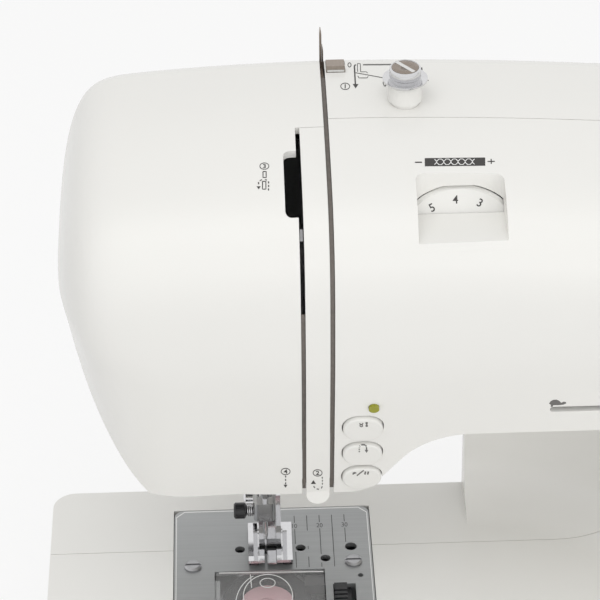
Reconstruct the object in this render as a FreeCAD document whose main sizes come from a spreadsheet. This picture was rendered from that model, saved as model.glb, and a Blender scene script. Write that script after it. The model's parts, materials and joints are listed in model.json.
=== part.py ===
"""Portable electronic sewing machine with a free arm, built as separate pieces.

Sizes are millimetres. They are measured from the needle: x to the right, y to the rear and z up from the top
of the bed, where the needle passes the middle of the presser foot. Placements then move every piece to the
frame of the part: the origin lies on the table under the middle of the machine, +X points to the handwheel,
+Y to the rear and +Z up."""

import FreeCAD, Part
import math
import os
import re

import Sketcher

Vector = FreeCAD.Vector
Rotation = FreeCAD.Rotation

SIZES = {
    # Place of the needle in the frame of the part
    "needle_x": -103.8,
    "needle_y": 27.95,
    "bed_height": 75.0,
    # Fits: casing seams, gaps between moving pieces, running shafts, sliding bars
    "seam": 0.3,
    "gap": 0.4,
    "running": 0.05,
    # Moulded casings
    "wall": 2.6,
    "head_left": 74.0,
    "head_round": 44.0,
    "head_right": 36.0,
    "head_bottom": 57.0,
    "head_toe": 34.5,
    "arm_front": 57.8,
    "arm_rear": 42.0,
    "arm_top": 203.6,
    "arm_bottom": 90.0,
    "crease_height": 114.5,
    "top_fall": 12.0,
    "body_right": 272.0,
    "pillar_toe": 62.0,
    "harp_right": 159.0,
    "harp_tip": 79.0,
    "harp_centre": 45.0,
    "floor_cove": 22.0,
    "ceiling_cove": 16.0,
    "split_bed": 2.5,
    "split_top": 4.0,
    # Free arm, base and removable table
    "bed_left": 87.0,
    "bed_rear": 40.5,
    "bed_front": 60.0,
    "bed_depth": 57.0,
    "bed_corner": 9.0,
    "base_thick": 5.0,
    "foot_height": 5.0,
    "foot_radius": 8.0,
    "table_front": 112.0,
    "table_drop": 71.0,
    "table_wall": 2.5,
    "door_low": 60.0,
    "door_high": 12.0,
    # Thread slots in the head
    "slot_left": 12.1,
    "strip_left": 13.7,
    "strip_right": 22.3,
    "slot_right": 24.0,
    "strip_top": 8.0,
    "slot_end": 38.0,
    "window_left": 7.6,
    "window_rear": 19.5,
    "window_front": 47.0,
    # Needle plate and bobbin
    "plate_left": 38.0,
    "plate_right": 40.0,
    "plate_rear": 27.0,
    "plate_front": 56.0,
    "plate_thick": 2.0,
    "cover_left": 21.7,
    "cover_right": 20.6,
    "cover_rear": 11.5,
    "cover_front": 53.0,
    "cover_thick": 1.6,
    "latch_left": 23.9,
    "latch_right": 32.7,
    "latch_rear": 20.4,
    "latch_front": 36.0,
    "hook_x": -1.7,
    "hook_y": 21.0,
    "hook_radius": 19.3,
    "case_radius": 17.1,
    "bobbin_radius": 10.2,
    "bobbin_height": 11.5,
    "bobbin_top": 8.0,
    # Drive
    "arm_shaft_z": 150.0,
    "arm_shaft_radius": 5.0,
    "lower_shaft_z": 41.5,
    "lower_shaft_radius": 4.0,
    "pulley_radius": 10.0,
    "drive_pulley_radius": 22.0,
    "motor_pulley_radius": 8.0,
    "motor_z": 22.0,
    "motor_radius": 22.0,
    "belt_thick": 1.6,
    "belt_width": 8.0,
    "handwheel_radius": 30.0,
    "handwheel_out": 22.0,
    # Needle bar, presser bar and feed
    "needle_offset": 1.7,
    "needle_bar_radius": 3.2,
    "needle_bar_low": 24.0,
    "needle_bar_length": 110.0,
    "presser_y": 13.0,
    "presser_radius": 3.0,
    "foot_width": 17.3,
    "foot_front": 10.0,
    "foot_rear": 15.0,
    "sole_height": 1.2,
    "foot_pivot_y": 4.0,
    "foot_pivot_z": 7.5,
    "feed_top": 0.5,
    # Tension dial
    "dial_x": 68.4,
    "dial_y": 40.5,
    "dial_z": 167.5,
    "dial_radius": 23.5,
    "dial_thick": 6.0,
    "dial_tilt": 25.0,
    # Controls
    "button_x": 34.2,
    "button_width": 14.4,
    "button_height": 12.4,
    "button_stand": 1.6,
    "slider_left": 101.5,
    "slider_right": 158.0,
    "slider_z": 102.8,
    "post_x": 51.7,
    "post_y": 5.5,
    "post_radius": 6.0,
    "post_height": 6.5,
}

os.makedirs("parts", exist_ok=True)
doc = FreeCAD.newDocument("sewing_machine")
sheet = doc.addObject("Spreadsheet::Sheet", "dims")
for row, (name, number) in enumerate(SIZES.items(), 1):
    sheet.set(f"A{row}", name)
    sheet.set(f"B{row}", str(number))
    sheet.setAlias(f"B{row}", name)
scratch = doc.addObject("Spreadsheet::Sheet", "scratch")
doc.recompute()

nodes = {}


def size(name):
    """A driving dimension, read from the sheet."""
    return float(sheet.get(name))


def formula(text):
    """An expression in which every named size points at its cell."""
    return re.sub(r"[a-z]\w*", lambda word: "dims." + word[0] if word[0] in SIZES else word[0], str(text))


def value(text):
    """The present number behind an expression, read from a cell of its own."""
    scratch.set("A1", "=" + formula(text))
    scratch.recompute()
    return float(scratch.get("A1"))


def seat(obj, x, y, z, turn=None):
    """Places an object by its needle coordinates."""
    obj.Placement = FreeCAD.Placement(Vector(), turn or Rotation())
    for axis, origin, text in zip("xyz", ("needle_x", "needle_y", "bed_height"), (x, y, z)):
        obj.setExpression(f"Placement.Base.{axis}", formula(f"{origin} + ({text})"))
    return obj


def node(label, obj):
    """Names a finished sub-part, which becomes one file."""
    obj.Label = label
    nodes[label] = obj
    return obj


TURNS = {
    "x": Rotation(Vector(0, 1, 0), 90),
    "y": Rotation(Vector(1, 0, 0), -90),
    "z": Rotation(),
}


def block(x, y, z):
    """A box between two expressions on each axis."""
    obj = doc.addObject("Part::Box", "block")
    for prop, (low, high) in zip(("Length", "Width", "Height"), (x, y, z)):
        obj.setExpression(prop, formula(f"({high}) - ({low})"))
    return seat(obj, x[0], y[0], z[0])


def rod(radius, length, x, y, z, axis="z"):
    """A cylinder that starts at a point and runs along an axis."""
    obj = doc.addObject("Part::Cylinder", "rod")
    obj.setExpression("Radius", formula(radius))
    obj.setExpression("Height", formula(length))
    return seat(obj, x, y, z, TURNS[axis])


def fuse(*shapes):
    obj = doc.addObject("Part::MultiFuse", "fused")
    obj.Shapes = list(shapes)
    obj.Refine = True
    return obj


def cut(base, *tools):
    obj = doc.addObject("Part::Cut", "cut")
    obj.Base = base
    obj.Tool = tools[0] if len(tools) == 1 else fuse(*tools)
    return obj


def outline_sketch(body, plane, outline):
    """A closed polygon whose corners are bound to expressions."""
    sketch = body.newObject("Sketcher::SketchObject", "outline")
    origin = next(item for item in body.Origin.OriginFeatures if item.Role == plane)
    sketch.AttachmentSupport = (origin, [""])
    sketch.MapMode = "FlatFace"
    corners = [Vector(value(u), value(v), 0) for u, v in outline]
    for index, corner in enumerate(corners):
        sketch.addGeometry(Part.LineSegment(corner, corners[(index + 1) % len(corners)]))
    for index, (u, v) in enumerate(outline):
        following = (index + 1) % len(corners)
        sketch.addConstraint(Sketcher.Constraint("Coincident", index, 2, following, 1))
        for kind, axis, text, number in (("DistanceX", -2, u, corners[index].x),
                                         ("DistanceY", -1, v, corners[index].y)):
            if abs(number) < 1e-9:
                sketch.addConstraint(Sketcher.Constraint("PointOnObject", index, 1, axis))
                continue
            place = sketch.addConstraint(Sketcher.Constraint(kind, -1, 1, index, 1, number))
            sketch.setExpression(f"Constraints[{place}]", formula(text))
    return sketch


def turned(outline, x, y, z, axis="z"):
    """A body of revolution from (radius, height) corners about an axis through a point."""
    body = doc.addObject("PartDesign::Body", "turned")
    sketch = outline_sketch(body, "XZ_Plane", outline)
    revolution = body.newObject("PartDesign::Revolution", "revolution")
    revolution.Profile = sketch
    revolution.ReferenceAxis = (sketch, ["V_Axis"])
    revolution.Angle = 360
    return seat(body, x, y, z, TURNS[axis])


def padded(plane, outline, length, x, y, z, rounding=None):
    """A polygon on an origin plane, padded along its normal, with its corners rounded."""
    body = doc.addObject("PartDesign::Body", "padded")
    sketch = outline_sketch(body, plane, outline)
    pad = body.newObject("PartDesign::Pad", "pad")
    pad.Profile = sketch
    pad.setExpression("Length", formula(length))
    if rounding:
        doc.recompute()
        normal = {"XY_Plane": Vector(0, 0, 1), "XZ_Plane": Vector(0, 1, 0),
                  "YZ_Plane": Vector(1, 0, 0)}[plane]
        edges = []
        for index, edge in enumerate(pad.Shape.Edges, 1):
            along = edge.Vertexes[-1].Point - edge.Vertexes[0].Point
            if along.Length > 1e-6 and abs(along.normalize().dot(normal)) > 0.999:
                edges.append(f"Edge{index}")
        fillet = body.newObject("PartDesign::Fillet", "rounding")
        fillet.Base = (pad, edges)
        fillet.setExpression("Radius", formula(rounding))
    return seat(body, x, y, z)


def shaped(label, shape):
    """A sub-part whose solid comes from lofts and splits rather than from one body."""
    obj = doc.addObject("Part::Feature", label)
    whole = max(shape.Solids, key=lambda solid: solid.Volume)
    matrix = whole.Placement.Matrix
    whole.Placement = FreeCAD.Placement()
    obj.Shape = whole.transformed(matrix, copy=True)
    return node(label, seat(obj, 0, 0, 0))


def solid_box(x, y, z):
    """A plain box for splitting and cutting, between numbers on each axis."""
    return Part.makeBox(x[1] - x[0], y[1] - y[0], z[1] - z[0], Vector(x[0], y[0], z[0]))


# Outer form of head and arm: cross-sections along x, drawn in to a soft dome at the left end
FAR = 400.0
wall = size("wall")
seam = size("seam")


def inset_spline(points, inset):
    """A curve through points of one cross-section, moved inwards along its normals."""
    curve = Part.BSplineCurve()
    curve.interpolate(points)
    if not inset:
        return curve
    moved = []
    for point in points:
        tangent = curve.tangent(curve.parameter(point))[0]
        moved.append(point + Vector(0, -tangent.z, tangent.y) * inset)
    inner = Part.BSplineCurve()
    inner.interpolate(moved)
    return inner


def front_corners():
    """Crown, shoulder, bowed front and receding lower panel of the head, as (y, z) from rear to bottom."""
    top, front, crease = size("arm_top"), size("arm_front"), size("crease_height")
    low, bottom, toe = size("arm_bottom"), size("head_bottom"), size("head_toe")
    return [(size("arm_rear") - 12, top), (0, top - 2), (-front * 0.52, top - 8.6),
            (0.3 + 8.5 - front, top - 17.3),
            (0.3 - front, top - 32.6), (-front, (top + crease) / 2 - 9), (3.6 - front, crease + 12.5),
            (6.8 - front, crease), (14 - front, low - 1), (-toe, bottom), (3 - toe, bottom - 10)]


def top_fall(x):
    """How far the top has dropped at x: crowned over the head, then sloping towards the handwheel."""
    peak = size("slot_right") + 1
    if x < peak:
        return size("top_fall") / 2 * ((x - peak) / (size("head_left") + peak)) ** 2
    share = min(1.0, (x - peak) / (size("body_right") - peak))
    return size("top_fall") * (1 - math.cos(share * math.pi)) / 2


def drawn_in(share, power, sharpness):
    return 1 - (1 - share ** power) ** sharpness


def section(x, share, inset):
    """One closed cross-section; share runs from 0 at the full section to 1 at the left tip."""
    waist = (size("arm_top") + size("arm_bottom")) / 2
    front, rear = 1 - 0.80 * drawn_in(share, 5, 0.5), 1 - 0.80 * drawn_in(share, 6, 0.5)
    high, low = 1 - 0.92 * drawn_in(share, 7, 0.7), 1 - 0.95 * drawn_in(share, 2, 0.9)
    crease, top = size("crease_height"), size("arm_top")
    points = []
    for y, z in front_corners():
        z -= top_fall(x) * max(0.0, min(1.0, (z - crease) / (top - 24 - crease)))
        points.append(Vector(x, y * (front if y < 0 else rear),
                             waist + (z - waist) * (high if z > waist else low)))
    curve = inset_spline(points, inset)
    back = size("arm_rear") * rear - inset
    start, end = curve.StartPoint, curve.EndPoint
    width = back - start.y
    corner = Part.BezierCurve()
    corner.setPoles([Vector(x, back, start.z - width), Vector(x, back, start.z - width * 0.4),
                     Vector(x, back - width * 0.6, start.z), start])
    heel = Vector(x, back, end.z)
    edges = [curve.toShape(), Part.makeLine(end, heel), Part.makeLine(heel, corner.StartPoint),
             corner.toShape()]
    return Part.Wire(edges)


DOME_SHARES = (0.985, 0.955, 0.9, 0.82, 0.72, 0.6, 0.45, 0.25, 0.1, 0.0)


def upper_form(inset):
    """Head and arm, cut flat at the head's underside."""
    start = size("head_round") - size("head_left")
    tip = inset - size("head_left")
    right = size("body_right") - inset
    stations = [(start + (tip - start) * share, share) for share in DOME_SHARES]
    steps = 11
    stations += [(start + (right - start) * index / steps, 0.0) for index in range(1, steps + 1)]
    form = Part.makeLoft([section(x, share, inset) for x, share in stations], True, False)
    return form.cut(solid_box((-FAR, FAR), (-FAR, FAR), (0, size("head_bottom") + inset)))


def harp_prism(grow):
    """The space under the arm, between the head's slanted end and the pillar."""
    right, low, bottom = size("harp_right"), size("arm_bottom"), size("head_bottom")
    left = size("head_right")
    slant = (low - bottom) * 0.66
    corner, sweep = 6.0, 16.0
    along = Vector(slant, 0, low - bottom).normalize()
    foot, knee = Vector(left, 0, bottom), Vector(left + slant, 0, low)
    points = [Vector(left - corner, 0, bottom), foot + along * corner, knee - along * sweep,
              knee + Vector(sweep, 0, 0)]
    edges = []
    for before, peak, after in ((points[0], foot, points[1]), (points[2], knee, points[3])):
        inwards = (before - peak).normalize() + (after - peak).normalize()
        half = math.acos(inwards.Length / 2)
        reach = (after - peak).Length * (1 / math.cos(half) - math.tan(half))
        edges.append(Part.Arc(before, peak + inwards.normalize() * reach, after).toShape())
    under = bottom - 40
    loop = [points[3], Vector(right, 0, low), Vector(right, 0, under), Vector(left - corner, 0, under),
            points[0]]
    edges.insert(1, Part.makeLine(points[1], points[2]))
    edges += [Part.makeLine(a, b) for a, b in zip(loop, loop[1:])]
    face = Part.Face(Part.Wire(edges))
    if grow:
        face = face.makeOffset2D(grow)
    prism = face.extrude(Vector(0, FAR, 0))
    prism.translate(Vector(0, -FAR / 2, 0))
    return prism


def pillar_form(inset):
    """The pillar below the arm: a waisted front, and a left wall that sweeps round to a tip at the rear."""
    front, low = size("arm_front"), size("arm_bottom")
    depth = size("bed_depth")
    points = [Vector(0, 6.8 - front, size("crease_height")), Vector(0, 14 - front, low - 1),
              Vector(0, -42.5, 66),
              Vector(0, -46, 38), Vector(0, -53.5, 12), Vector(0, -59.5, -12), Vector(0, -61.5, -34),
              Vector(0, -size("pillar_toe"), -depth)]
    curve = inset_spline(points, inset)
    rear, right = size("arm_rear") - inset, size("body_right") - inset
    start, end = curve.StartPoint, curve.EndPoint
    corners = [end, Vector(0, rear, end.z), Vector(0, rear, start.z), start]
    sides = [Part.makeLine(a, b) for a, b in zip(corners, corners[1:])]
    side = Part.Face(Part.Wire([curve.toShape()] + sides))
    tip, wall_x, centre = size("harp_tip") + inset, size("harp_right") + inset, -size("harp_centre")
    across = wall_x - tip
    middle = Vector(tip + across * math.sqrt(0.5), centre + across * math.sqrt(0.5), 0)
    sweep = Part.Arc(Vector(wall_x, centre, 0), middle, Vector(tip, centre + across, 0)).toShape()
    loop = [Vector(tip, centre + across, 0), Vector(tip, rear, 0), Vector(right, rear, 0),
            Vector(right, -FAR, 0),
            Vector(wall_x, -FAR, 0), Vector(wall_x, centre, 0)]
    plan = Part.Face(Part.Wire([sweep] + [Part.makeLine(a, b) for a, b in zip(loop, loop[1:])]))
    plan.translate(Vector(0, 0, inset - depth))
    return plan.extrude(Vector(0, 0, low + depth - inset)).common(side.extrude(Vector(FAR, 0, 0)))


def bed_form(inset):
    """The free arm, with rounded corners at its open end."""
    shape = solid_box((inset - size("bed_left"), size("harp_right")),
                      (inset - size("bed_front"), size("bed_rear") - inset),
                      (inset - size("bed_depth"), -inset))
    corners = [edge for edge in shape.Edges if edge.Vertexes[0].X < 0 and edge.Vertexes[1].X < 0
               and abs(edge.Vertexes[0].Z - edge.Vertexes[1].Z) > 1]
    return shape.makeFillet(size("bed_corner") - inset, corners)


def coves():
    """Soft blends between the pillar's swept wall, the bed and the underside of the arm."""
    tip, centre = size("harp_tip"), -size("harp_centre")
    radius = size("harp_right") - tip
    shapes = []
    for level, rise in ((0.0, size("floor_cove")), (size("arm_bottom"), -size("ceiling_cove"))):
        reach = abs(rise)
        middle = reach * (1 - math.sqrt(0.5))
        start, end = Vector(radius - reach, 0, level), Vector(radius, 0, level + rise)
        through = Vector(radius - middle, 0, level + math.copysign(middle, rise))
        loop = [end, Vector(radius + 1, 0, level + rise), Vector(radius + 1, 0, level), start]
        face = Part.Face(Part.Wire([Part.Arc(start, through, end).toShape()]
                                   + [Part.makeLine(a, b) for a, b in zip(loop, loop[1:])]))
        face.translate(Vector(tip, centre, 0))
        shapes.append(face.revolve(Vector(tip, centre, 0), Vector(0, 0, 1), 90))
        run = size("bed_front") if rise > 0 else size("arm_front") - 14
        shapes.append(face.extrude(Vector(0, -run - centre, 0)))
    return shapes


outer = upper_form(0).cut(harp_prism(0)).fuse([pillar_form(0), bed_form(0)] + coves())
hollow = upper_form(wall).cut(harp_prism(wall)).fuse([pillar_form(wall), bed_form(wall)])
shell = outer.cut(hollow)


def beside_split(rear):
    """Everything behind or in front of the seam, which leans forward towards the top."""
    reach = (seam / 2, FAR) if rear else (-FAR, -seam / 2)
    shape = solid_box((-FAR, FAR), reach, (-FAR, FAR))
    lean = math.atan2(size("split_bed") + size("split_top"), size("arm_top"))
    shape.rotate(Vector(), Vector(1, 0, 0), math.degrees(lean))
    shape.translate(Vector(0, size("split_bed"), 0))
    return shape


# The lower front panel is flat: its slope and the points on it come from the cross-section
PANEL_LEAN = math.atan2(size("arm_front") - 14 - size("head_toe"),
                        size("arm_bottom") - 1 - size("head_bottom"))
PANEL_TURN = Rotation(Vector(1, 0, 0), 90 + math.degrees(PANEL_LEAN))


def panel_y(z):
    """Depth of the lower front panel at a height."""
    return 14 - size("arm_front") - (z - size("arm_bottom") + 1) * math.tan(PANEL_LEAN)


def panel_prism(width, height, corner, x, z, depth, stand, soft=0.0):
    """A rounded prism square to the lower front panel; soft rounds the edges of its outer face."""
    shape = solid_box((-width / 2, width / 2), (-height / 2, height / 2), (-depth, stand))
    upright = [edge for edge in shape.Edges if abs(edge.Vertexes[0].Z - edge.Vertexes[1].Z) > 0.5]
    shape = shape.makeFillet(corner, upright)
    if soft:
        shape = shape.makeFillet(soft, [edge for edge in shape.Edges if edge.BoundBox.ZMin > stand - 0.01])
    shape.Placement = FreeCAD.Placement(Vector(x, panel_y(z), z), PANEL_TURN)
    return shape


BUTTON_HEIGHTS = {"needle_button": 95.9, "reverse_button": 81.0, "start_button": 66.8}
LED_PLACE = (38.0, 107.0)
LED_RADIUS = 2.0
DIAL_TURN = Rotation(Vector(1, 0, 0), 90 - size("dial_tilt"))
SLIDER_SLOT = 3.0
gap = size("gap")
through_panel = 9.0

# Fixing points on the rear, as (x, z): two on the face cover, three on the arm and pillar, two on the bed
FACE_SCREWS = ((-28.0, 150.0), (-28.0, 95.0))
ARM_SCREWS = ((70.0, 140.0), (238.0, 140.0), (238.0, 20.0))
BED_SCREWS = ((-45.0, -30.0), (60.0, -30.0))
SCREW_RADIUS = 1.8
screw_holes = [Part.makeCylinder(SCREW_RADIUS + 0.2, 30, Vector(x, 30, z), Vector(0, 1, 0))
               for x, z in FACE_SCREWS + ARM_SCREWS + BED_SCREWS]

# Face cover: left end of the head, with the openings for bars, lifter and take-up lever
above_bed = 30.0
bars_opening = solid_box((-17, size("slot_left") - 0.6), (-14, 20), (0, size("head_bottom") + 2 * wall))
lifter_slot = solid_box((-4.2, 4.2), (36, 60), (86, 118))
window = solid_box((size("window_left"), size("strip_left")), (-size("window_front"), -size("window_rear")),
                   (150, FAR))
window = window.makeFillet(2.2, [edge for edge in window.Edges
                                 if edge.BoundBox.XMax < size("window_left") + 0.1
                                 and edge.BoundBox.ZLength > 1])
left_of_slot = solid_box((-FAR, size("slot_left")), (-FAR, FAR), (above_bed, FAR))
behind_strip = solid_box((size("slot_left") - 1, size("strip_right")), (-size("strip_top"), FAR),
                         (above_bed, FAR))
face_shell = shell.common(left_of_slot.fuse(behind_strip))
shaped("face_cover", face_shell.cut([bars_opening, lifter_slot, window] + screw_holes))

# Strip between the two thread slots, with a rib inside and a thread tongue below
strip_mask = solid_box((size("strip_left"), size("strip_right")), (-FAR, -size("strip_top") - seam),
                       (above_bed, FAR))
rib = hollow.common(solid_box((16.5, 19.5), (-FAR, -31), (size("head_bottom") + wall, 188)))
tongue = Part.makeCylinder(4.3, wall, Vector(18, -size("head_toe") - 0.4, size("head_bottom") - 0.6),
                           Vector(0, 1, 0))
shaped("thread_divider", shell.common(strip_mask).fuse([rib, tongue]))

# Front half: recess and room of the tension dial, holes of the controls
RECESS_X = (53.0, 83.8)
RECESS_REAR = -31.0
RECESS_FLOOR = 180.0
DISPLAY_X = (192.0, 252.0)
DISPLAY_Z = (132.0, 164.0)
plate_opening = solid_box((-size("plate_left") - seam, size("plate_right") + seam),
                          (-size("plate_front") - seam, size("plate_rear") + seam), (-wall * 2, wall))
recess = solid_box(RECESS_X, (-FAR, RECESS_REAR), (RECESS_FLOOR, FAR))
recess = recess.makeFillet(3, [edge for edge in recess.Edges
                               if edge.BoundBox.YMin > RECESS_REAR - 1 and edge.BoundBox.ZLength > 60])
liner = outer.common(solid_box((RECESS_X[0] - wall, RECESS_X[1] + wall), (-FAR, RECESS_REAR + wall),
                               (RECESS_FLOOR - wall, FAR)))
dial_room = Part.makeCylinder(size("dial_radius") + gap, size("dial_thick") + 2 * gap,
                              Vector(0, 0, -size("dial_thick") - gap))
dial_room.Placement = FreeCAD.Placement(Vector(size("dial_x"), -size("dial_y"), size("dial_z")), DIAL_TURN)
led_hole = Part.makeCylinder(LED_RADIUS, 2 * through_panel, Vector(0, 0, -through_panel))
led_hole.Placement = FreeCAD.Placement(Vector(LED_PLACE[0], panel_y(LED_PLACE[1]), LED_PLACE[1]), PANEL_TURN)
slider_middle = (size("slider_left") + size("slider_right")) / 2
slider_slot = panel_prism(size("slider_right") - size("slider_left"), SLIDER_SLOT, SLIDER_SLOT * 0.48,
                          slider_middle, size("slider_z"), through_panel, through_panel)
display_hole = solid_box(DISPLAY_X, (-FAR, -45), DISPLAY_Z)
front_cuts = [plate_opening, recess, dial_room, led_hole, slider_slot, display_hole]
for z in BUTTON_HEIGHTS.values():
    front_cuts.append(panel_prism(size("button_width") + 2 * gap, size("button_height") + 2 * gap,
                                  size("button_height") / 2, size("button_x"), z, through_panel,
                                  through_panel))

# Openings in the right end and the top, shared by both halves
SWITCH_Y, SWITCH_Z = (4.0, 20.0), (-36.0, -10.0)
INLET_Y, INLET_Z = (-34.0, -8.0), (-36.0, -14.0)
right_end = (size("body_right") - 10, FAR)
end_cuts = [Part.makeCylinder(size("arm_shaft_radius") + 2, 40, Vector(right_end[0], 0, size("arm_shaft_z")),
                              Vector(1, 0, 0)),
            solid_box(right_end, SWITCH_Y, SWITCH_Z), solid_box(right_end, INLET_Y, INLET_Z)]
front_half = shell.fuse(liner).common(beside_split(False))
left_of_front = solid_box((-FAR, size("slot_right")), (-FAR, FAR), (above_bed, FAR))
shaped("front_casing", front_half.cut([left_of_front] + front_cuts + end_cuts))

# The display lies flush in the front: a piece of the same surface
display_mask = solid_box((DISPLAY_X[0] + seam, DISPLAY_X[1] - seam), (-FAR, -45),
                         (DISPLAY_Z[0] + seam, DISPLAY_Z[1] - seam))
shaped("display_window", shell.common(display_mask))

# Rear half: end of the thread slot, lugs of the handle, holes for the pieces on top
HANDLE_X = (112.0, 202.0)
HANDLE_Y, HANDLE_Z = 47.0, 170.0
PIN_RADIUS = 2.5
SPOOL = (186.0, 22.0)
SPOOL_SHANK = 4.0
WINDER = (259.0, 12.0)
GUIDE_Y = (24.0, 33.0)
GUIDE_WIDTH = 7.0
GUIDE_SINK = 1.2
top_cuts = [
    solid_box((WINDER[0] - 7, WINDER[0] + 7), (WINDER[1] - 4, WINDER[1] + 4), (180, FAR)),
    Part.makeCylinder(size("post_radius") - 0.7, 20, Vector(size("post_x"), size("post_y"), 190)),
    Part.makeCylinder(SPOOL_SHANK + 0.1, 40, Vector(SPOOL[0], SPOOL[1], 170)),
    solid_box((size("slot_right") + gap, size("slot_right") + gap + GUIDE_WIDTH), GUIDE_Y,
              (size("arm_top") - GUIDE_SINK, FAR)),
]
beside_slot = solid_box((-FAR, size("slot_right")), (-FAR, size("slot_end") + seam), (above_bed, FAR))
left_of_rear = solid_box((-FAR, size("strip_right") + seam), (-FAR, FAR), (above_bed, FAR))
handle_lugs = []
for x in HANDLE_X:
    lug = solid_box((x - 4, x + 4), (size("arm_rear") - 1, HANDLE_Y + 5), (HANDLE_Z - 6, HANDLE_Z + 6))
    handle_lugs.append(lug.makeFillet(3, [edge for edge in lug.Edges
                                          if edge.BoundBox.XLength > 5 and edge.BoundBox.YMin > HANDLE_Y]))
handle_bore = Part.makeCylinder(PIN_RADIUS + size("running"), 200, Vector(60, HANDLE_Y, HANDLE_Z),
                                Vector(1, 0, 0))
rear_half = shell.common(beside_split(True)).fuse(handle_lugs)
shaped("rear_casing", rear_half.cut([left_of_rear, beside_slot, plate_opening, handle_bore]
                                    + end_cuts + top_cuts + screw_holes))

# Base, feet and the removable table in front of the free arm
base_low = "foot_height - bed_height"
base_corners = [("-bed_left", "-bed_front"), ("body_right", "-bed_front"), ("body_right", "arm_rear"),
                ("-bed_left", "arm_rear")]
base = padded("XY_Plane", base_corners, "base_thick", 0, 0, base_low, rounding="bed_corner")
plinth = block(("harp_right", "body_right - bed_corner"), ("-bed_front", "arm_rear - wall"),
               (f"{base_low} + base_thick", "-bed_depth"))
node("base_tray", fuse(base, plinth))

feet = []
for x in ("-bed_left + 2 * foot_radius", "body_right - 2 * foot_radius"):
    for y in ("-bed_front + 2 * foot_radius", "arm_rear - 2 * foot_radius"):
        feet.append(turned([(0, 0), ("foot_radius - 1.5", 0), ("foot_radius", 1.5),
                            ("foot_radius", "foot_height"),
                            (0, "foot_height")], x, y, "-bed_height"))
node("rubber_feet", fuse(*feet))

POST = 8
HINGE = 1.6
table_right = "harp_right - seam"
table_corners = [("-bed_left", "-table_front"), (table_right, "-table_front"),
                 (table_right, "-bed_front - gap"), ("-bed_left", "-bed_front - gap")]
table = padded("XY_Plane", table_corners, "table_drop", 0, 0, "-table_drop", rounding="bed_corner / 3")
store = block(("table_wall - bed_left", f"{table_right} - table_wall"),
              ("table_wall - table_front", "-bed_front - gap - table_wall"),
              ("table_wall - table_drop", "-table_wall"))
doorway = block((f"{POST} - bed_left", f"{table_right} - {POST}"),
                ("-table_front - 1", "2 * table_wall - table_front"),
                ("-door_low", "-door_high"))
hinge_y, hinge_z = "table_wall - table_front", "table_wall + gap - door_low"
hinge_bores = [rod(f"{HINGE} + running", 4, f"{POST} - 3 - bed_left", hinge_y, hinge_z, "x"),
               rod(f"{HINGE} + running", 4, f"{table_right} - {POST} - 1", hinge_y, hinge_z, "x")]
node("accessory_table", cut(table, store, doorway, *hinge_bores))
door_x = (f"{POST} - bed_left + gap", f"{table_right} - {POST} - gap")
door_panel = block(door_x, ("-table_front", hinge_y), (hinge_z, "-door_high - gap"))
door_barrel = rod("table_wall", f"({door_x[1]}) - ({door_x[0]})", door_x[0], hinge_y, hinge_z, "x")
door_pins = rod(HINGE, f"({door_x[1]}) - ({door_x[0]}) + 5", f"{door_x[0]} - 2.5", hinge_y, hinge_z, "x")
node("table_door", fuse(door_panel, door_barrel, door_pins))

# Needle plate with its feed slots, and the bobbin below it
plate_corners = [("-plate_left", "-plate_front"), ("plate_right", "-plate_front"),
                 ("plate_right", "plate_rear"),
                 ("-plate_left", "plate_rear")]
plate = padded("XY_Plane", plate_corners, "plate_thick", 0, 0, "-plate_thick", rounding=4)
through = ("-plate_thick - 3", 1)
ROW = (5.2, 8.1)
ROW_Y = (-5.0, 13.0)
MIDDLE_ROW = 2.5
MIDDLE_Y = (5.0, 13.0)
FEED_RUN = 2.0
NEEDLE_SLOT = (4.2, 1.0)
row_slot = (f"{ROW_Y[0]} - {FEED_RUN} - 2 * gap", f"{ROW_Y[1]} + {FEED_RUN} + 2 * gap")
plate_cuts = [
    block(("-cover_left - gap", "cover_right + gap"), ("-cover_front - gap", "-cover_rear + gap"), through),
    block(("latch_left", "latch_right"), ("-latch_front", "-latch_rear"), through),
    block((-NEEDLE_SLOT[0], NEEDLE_SLOT[0]), (-NEEDLE_SLOT[1], NEEDLE_SLOT[1]), through),
    block((f"-{ROW[1]} - gap", f"gap - {ROW[0]}"), row_slot, through),
    block((f"{ROW[0]} - gap", f"{ROW[1]} + gap"), row_slot, through),
    block((f"-{MIDDLE_ROW} - gap", f"{MIDDLE_ROW} + gap"),
          (f"{MIDDLE_Y[0]} - {FEED_RUN} - 2 * gap", row_slot[1]), through),
]
GUIDE_HOLES = ((-12.0, 2.0, 2.0), (12.0, 2.0, 2.0), (21.6, -4.7, 2.0), (31.9, 2.0, 2.35), (34.9, -15.6, 1.1))
PLATE_SCREWS = ((-30.6, -7.7), (32.5, -7.3))
SHANK = 1.5
for x, y, radius in GUIDE_HOLES:
    plate_cuts.append(rod(radius, "plate_thick + 4", x, y, "-plate_thick - 3"))
for x, y in PLATE_SCREWS:
    plate_cuts.append(rod(SHANK + 0.2, "plate_thick + 4", x, y, "-plate_thick - 3"))
ledge = block(("-cover_left - 2", "-cover_left + 1.6"), ("-cover_front + 3", "-cover_rear - 3"),
              ("-plate_thick - 1.4", "-cover_thick - 0.1"))
node("needle_plate", fuse(cut(plate, *plate_cuts), ledge))

screws = []
for x, y in PLATE_SCREWS:
    screw = turned([(0, -9), (SHANK, -9), (SHANK, 0), (3.4, 0), (3.4, 0.7), (2.6, 1.3), (0, 1.3)], x, y, 0)
    screws.append(cut(screw, block((x - 4, x + 4), (y - 0.5, y + 0.5), (0.6, 3))))
node("plate_screws", fuse(*screws))

cover_corners = [("-cover_left", "-cover_front"), ("cover_right", "-cover_front"),
                 ("cover_right", "-cover_rear"),
                 ("-cover_left", "-cover_rear")]
node("bobbin_cover", padded("XY_Plane", cover_corners, "cover_thick", 0, 0, "-cover_thick", rounding=1.5))

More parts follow.
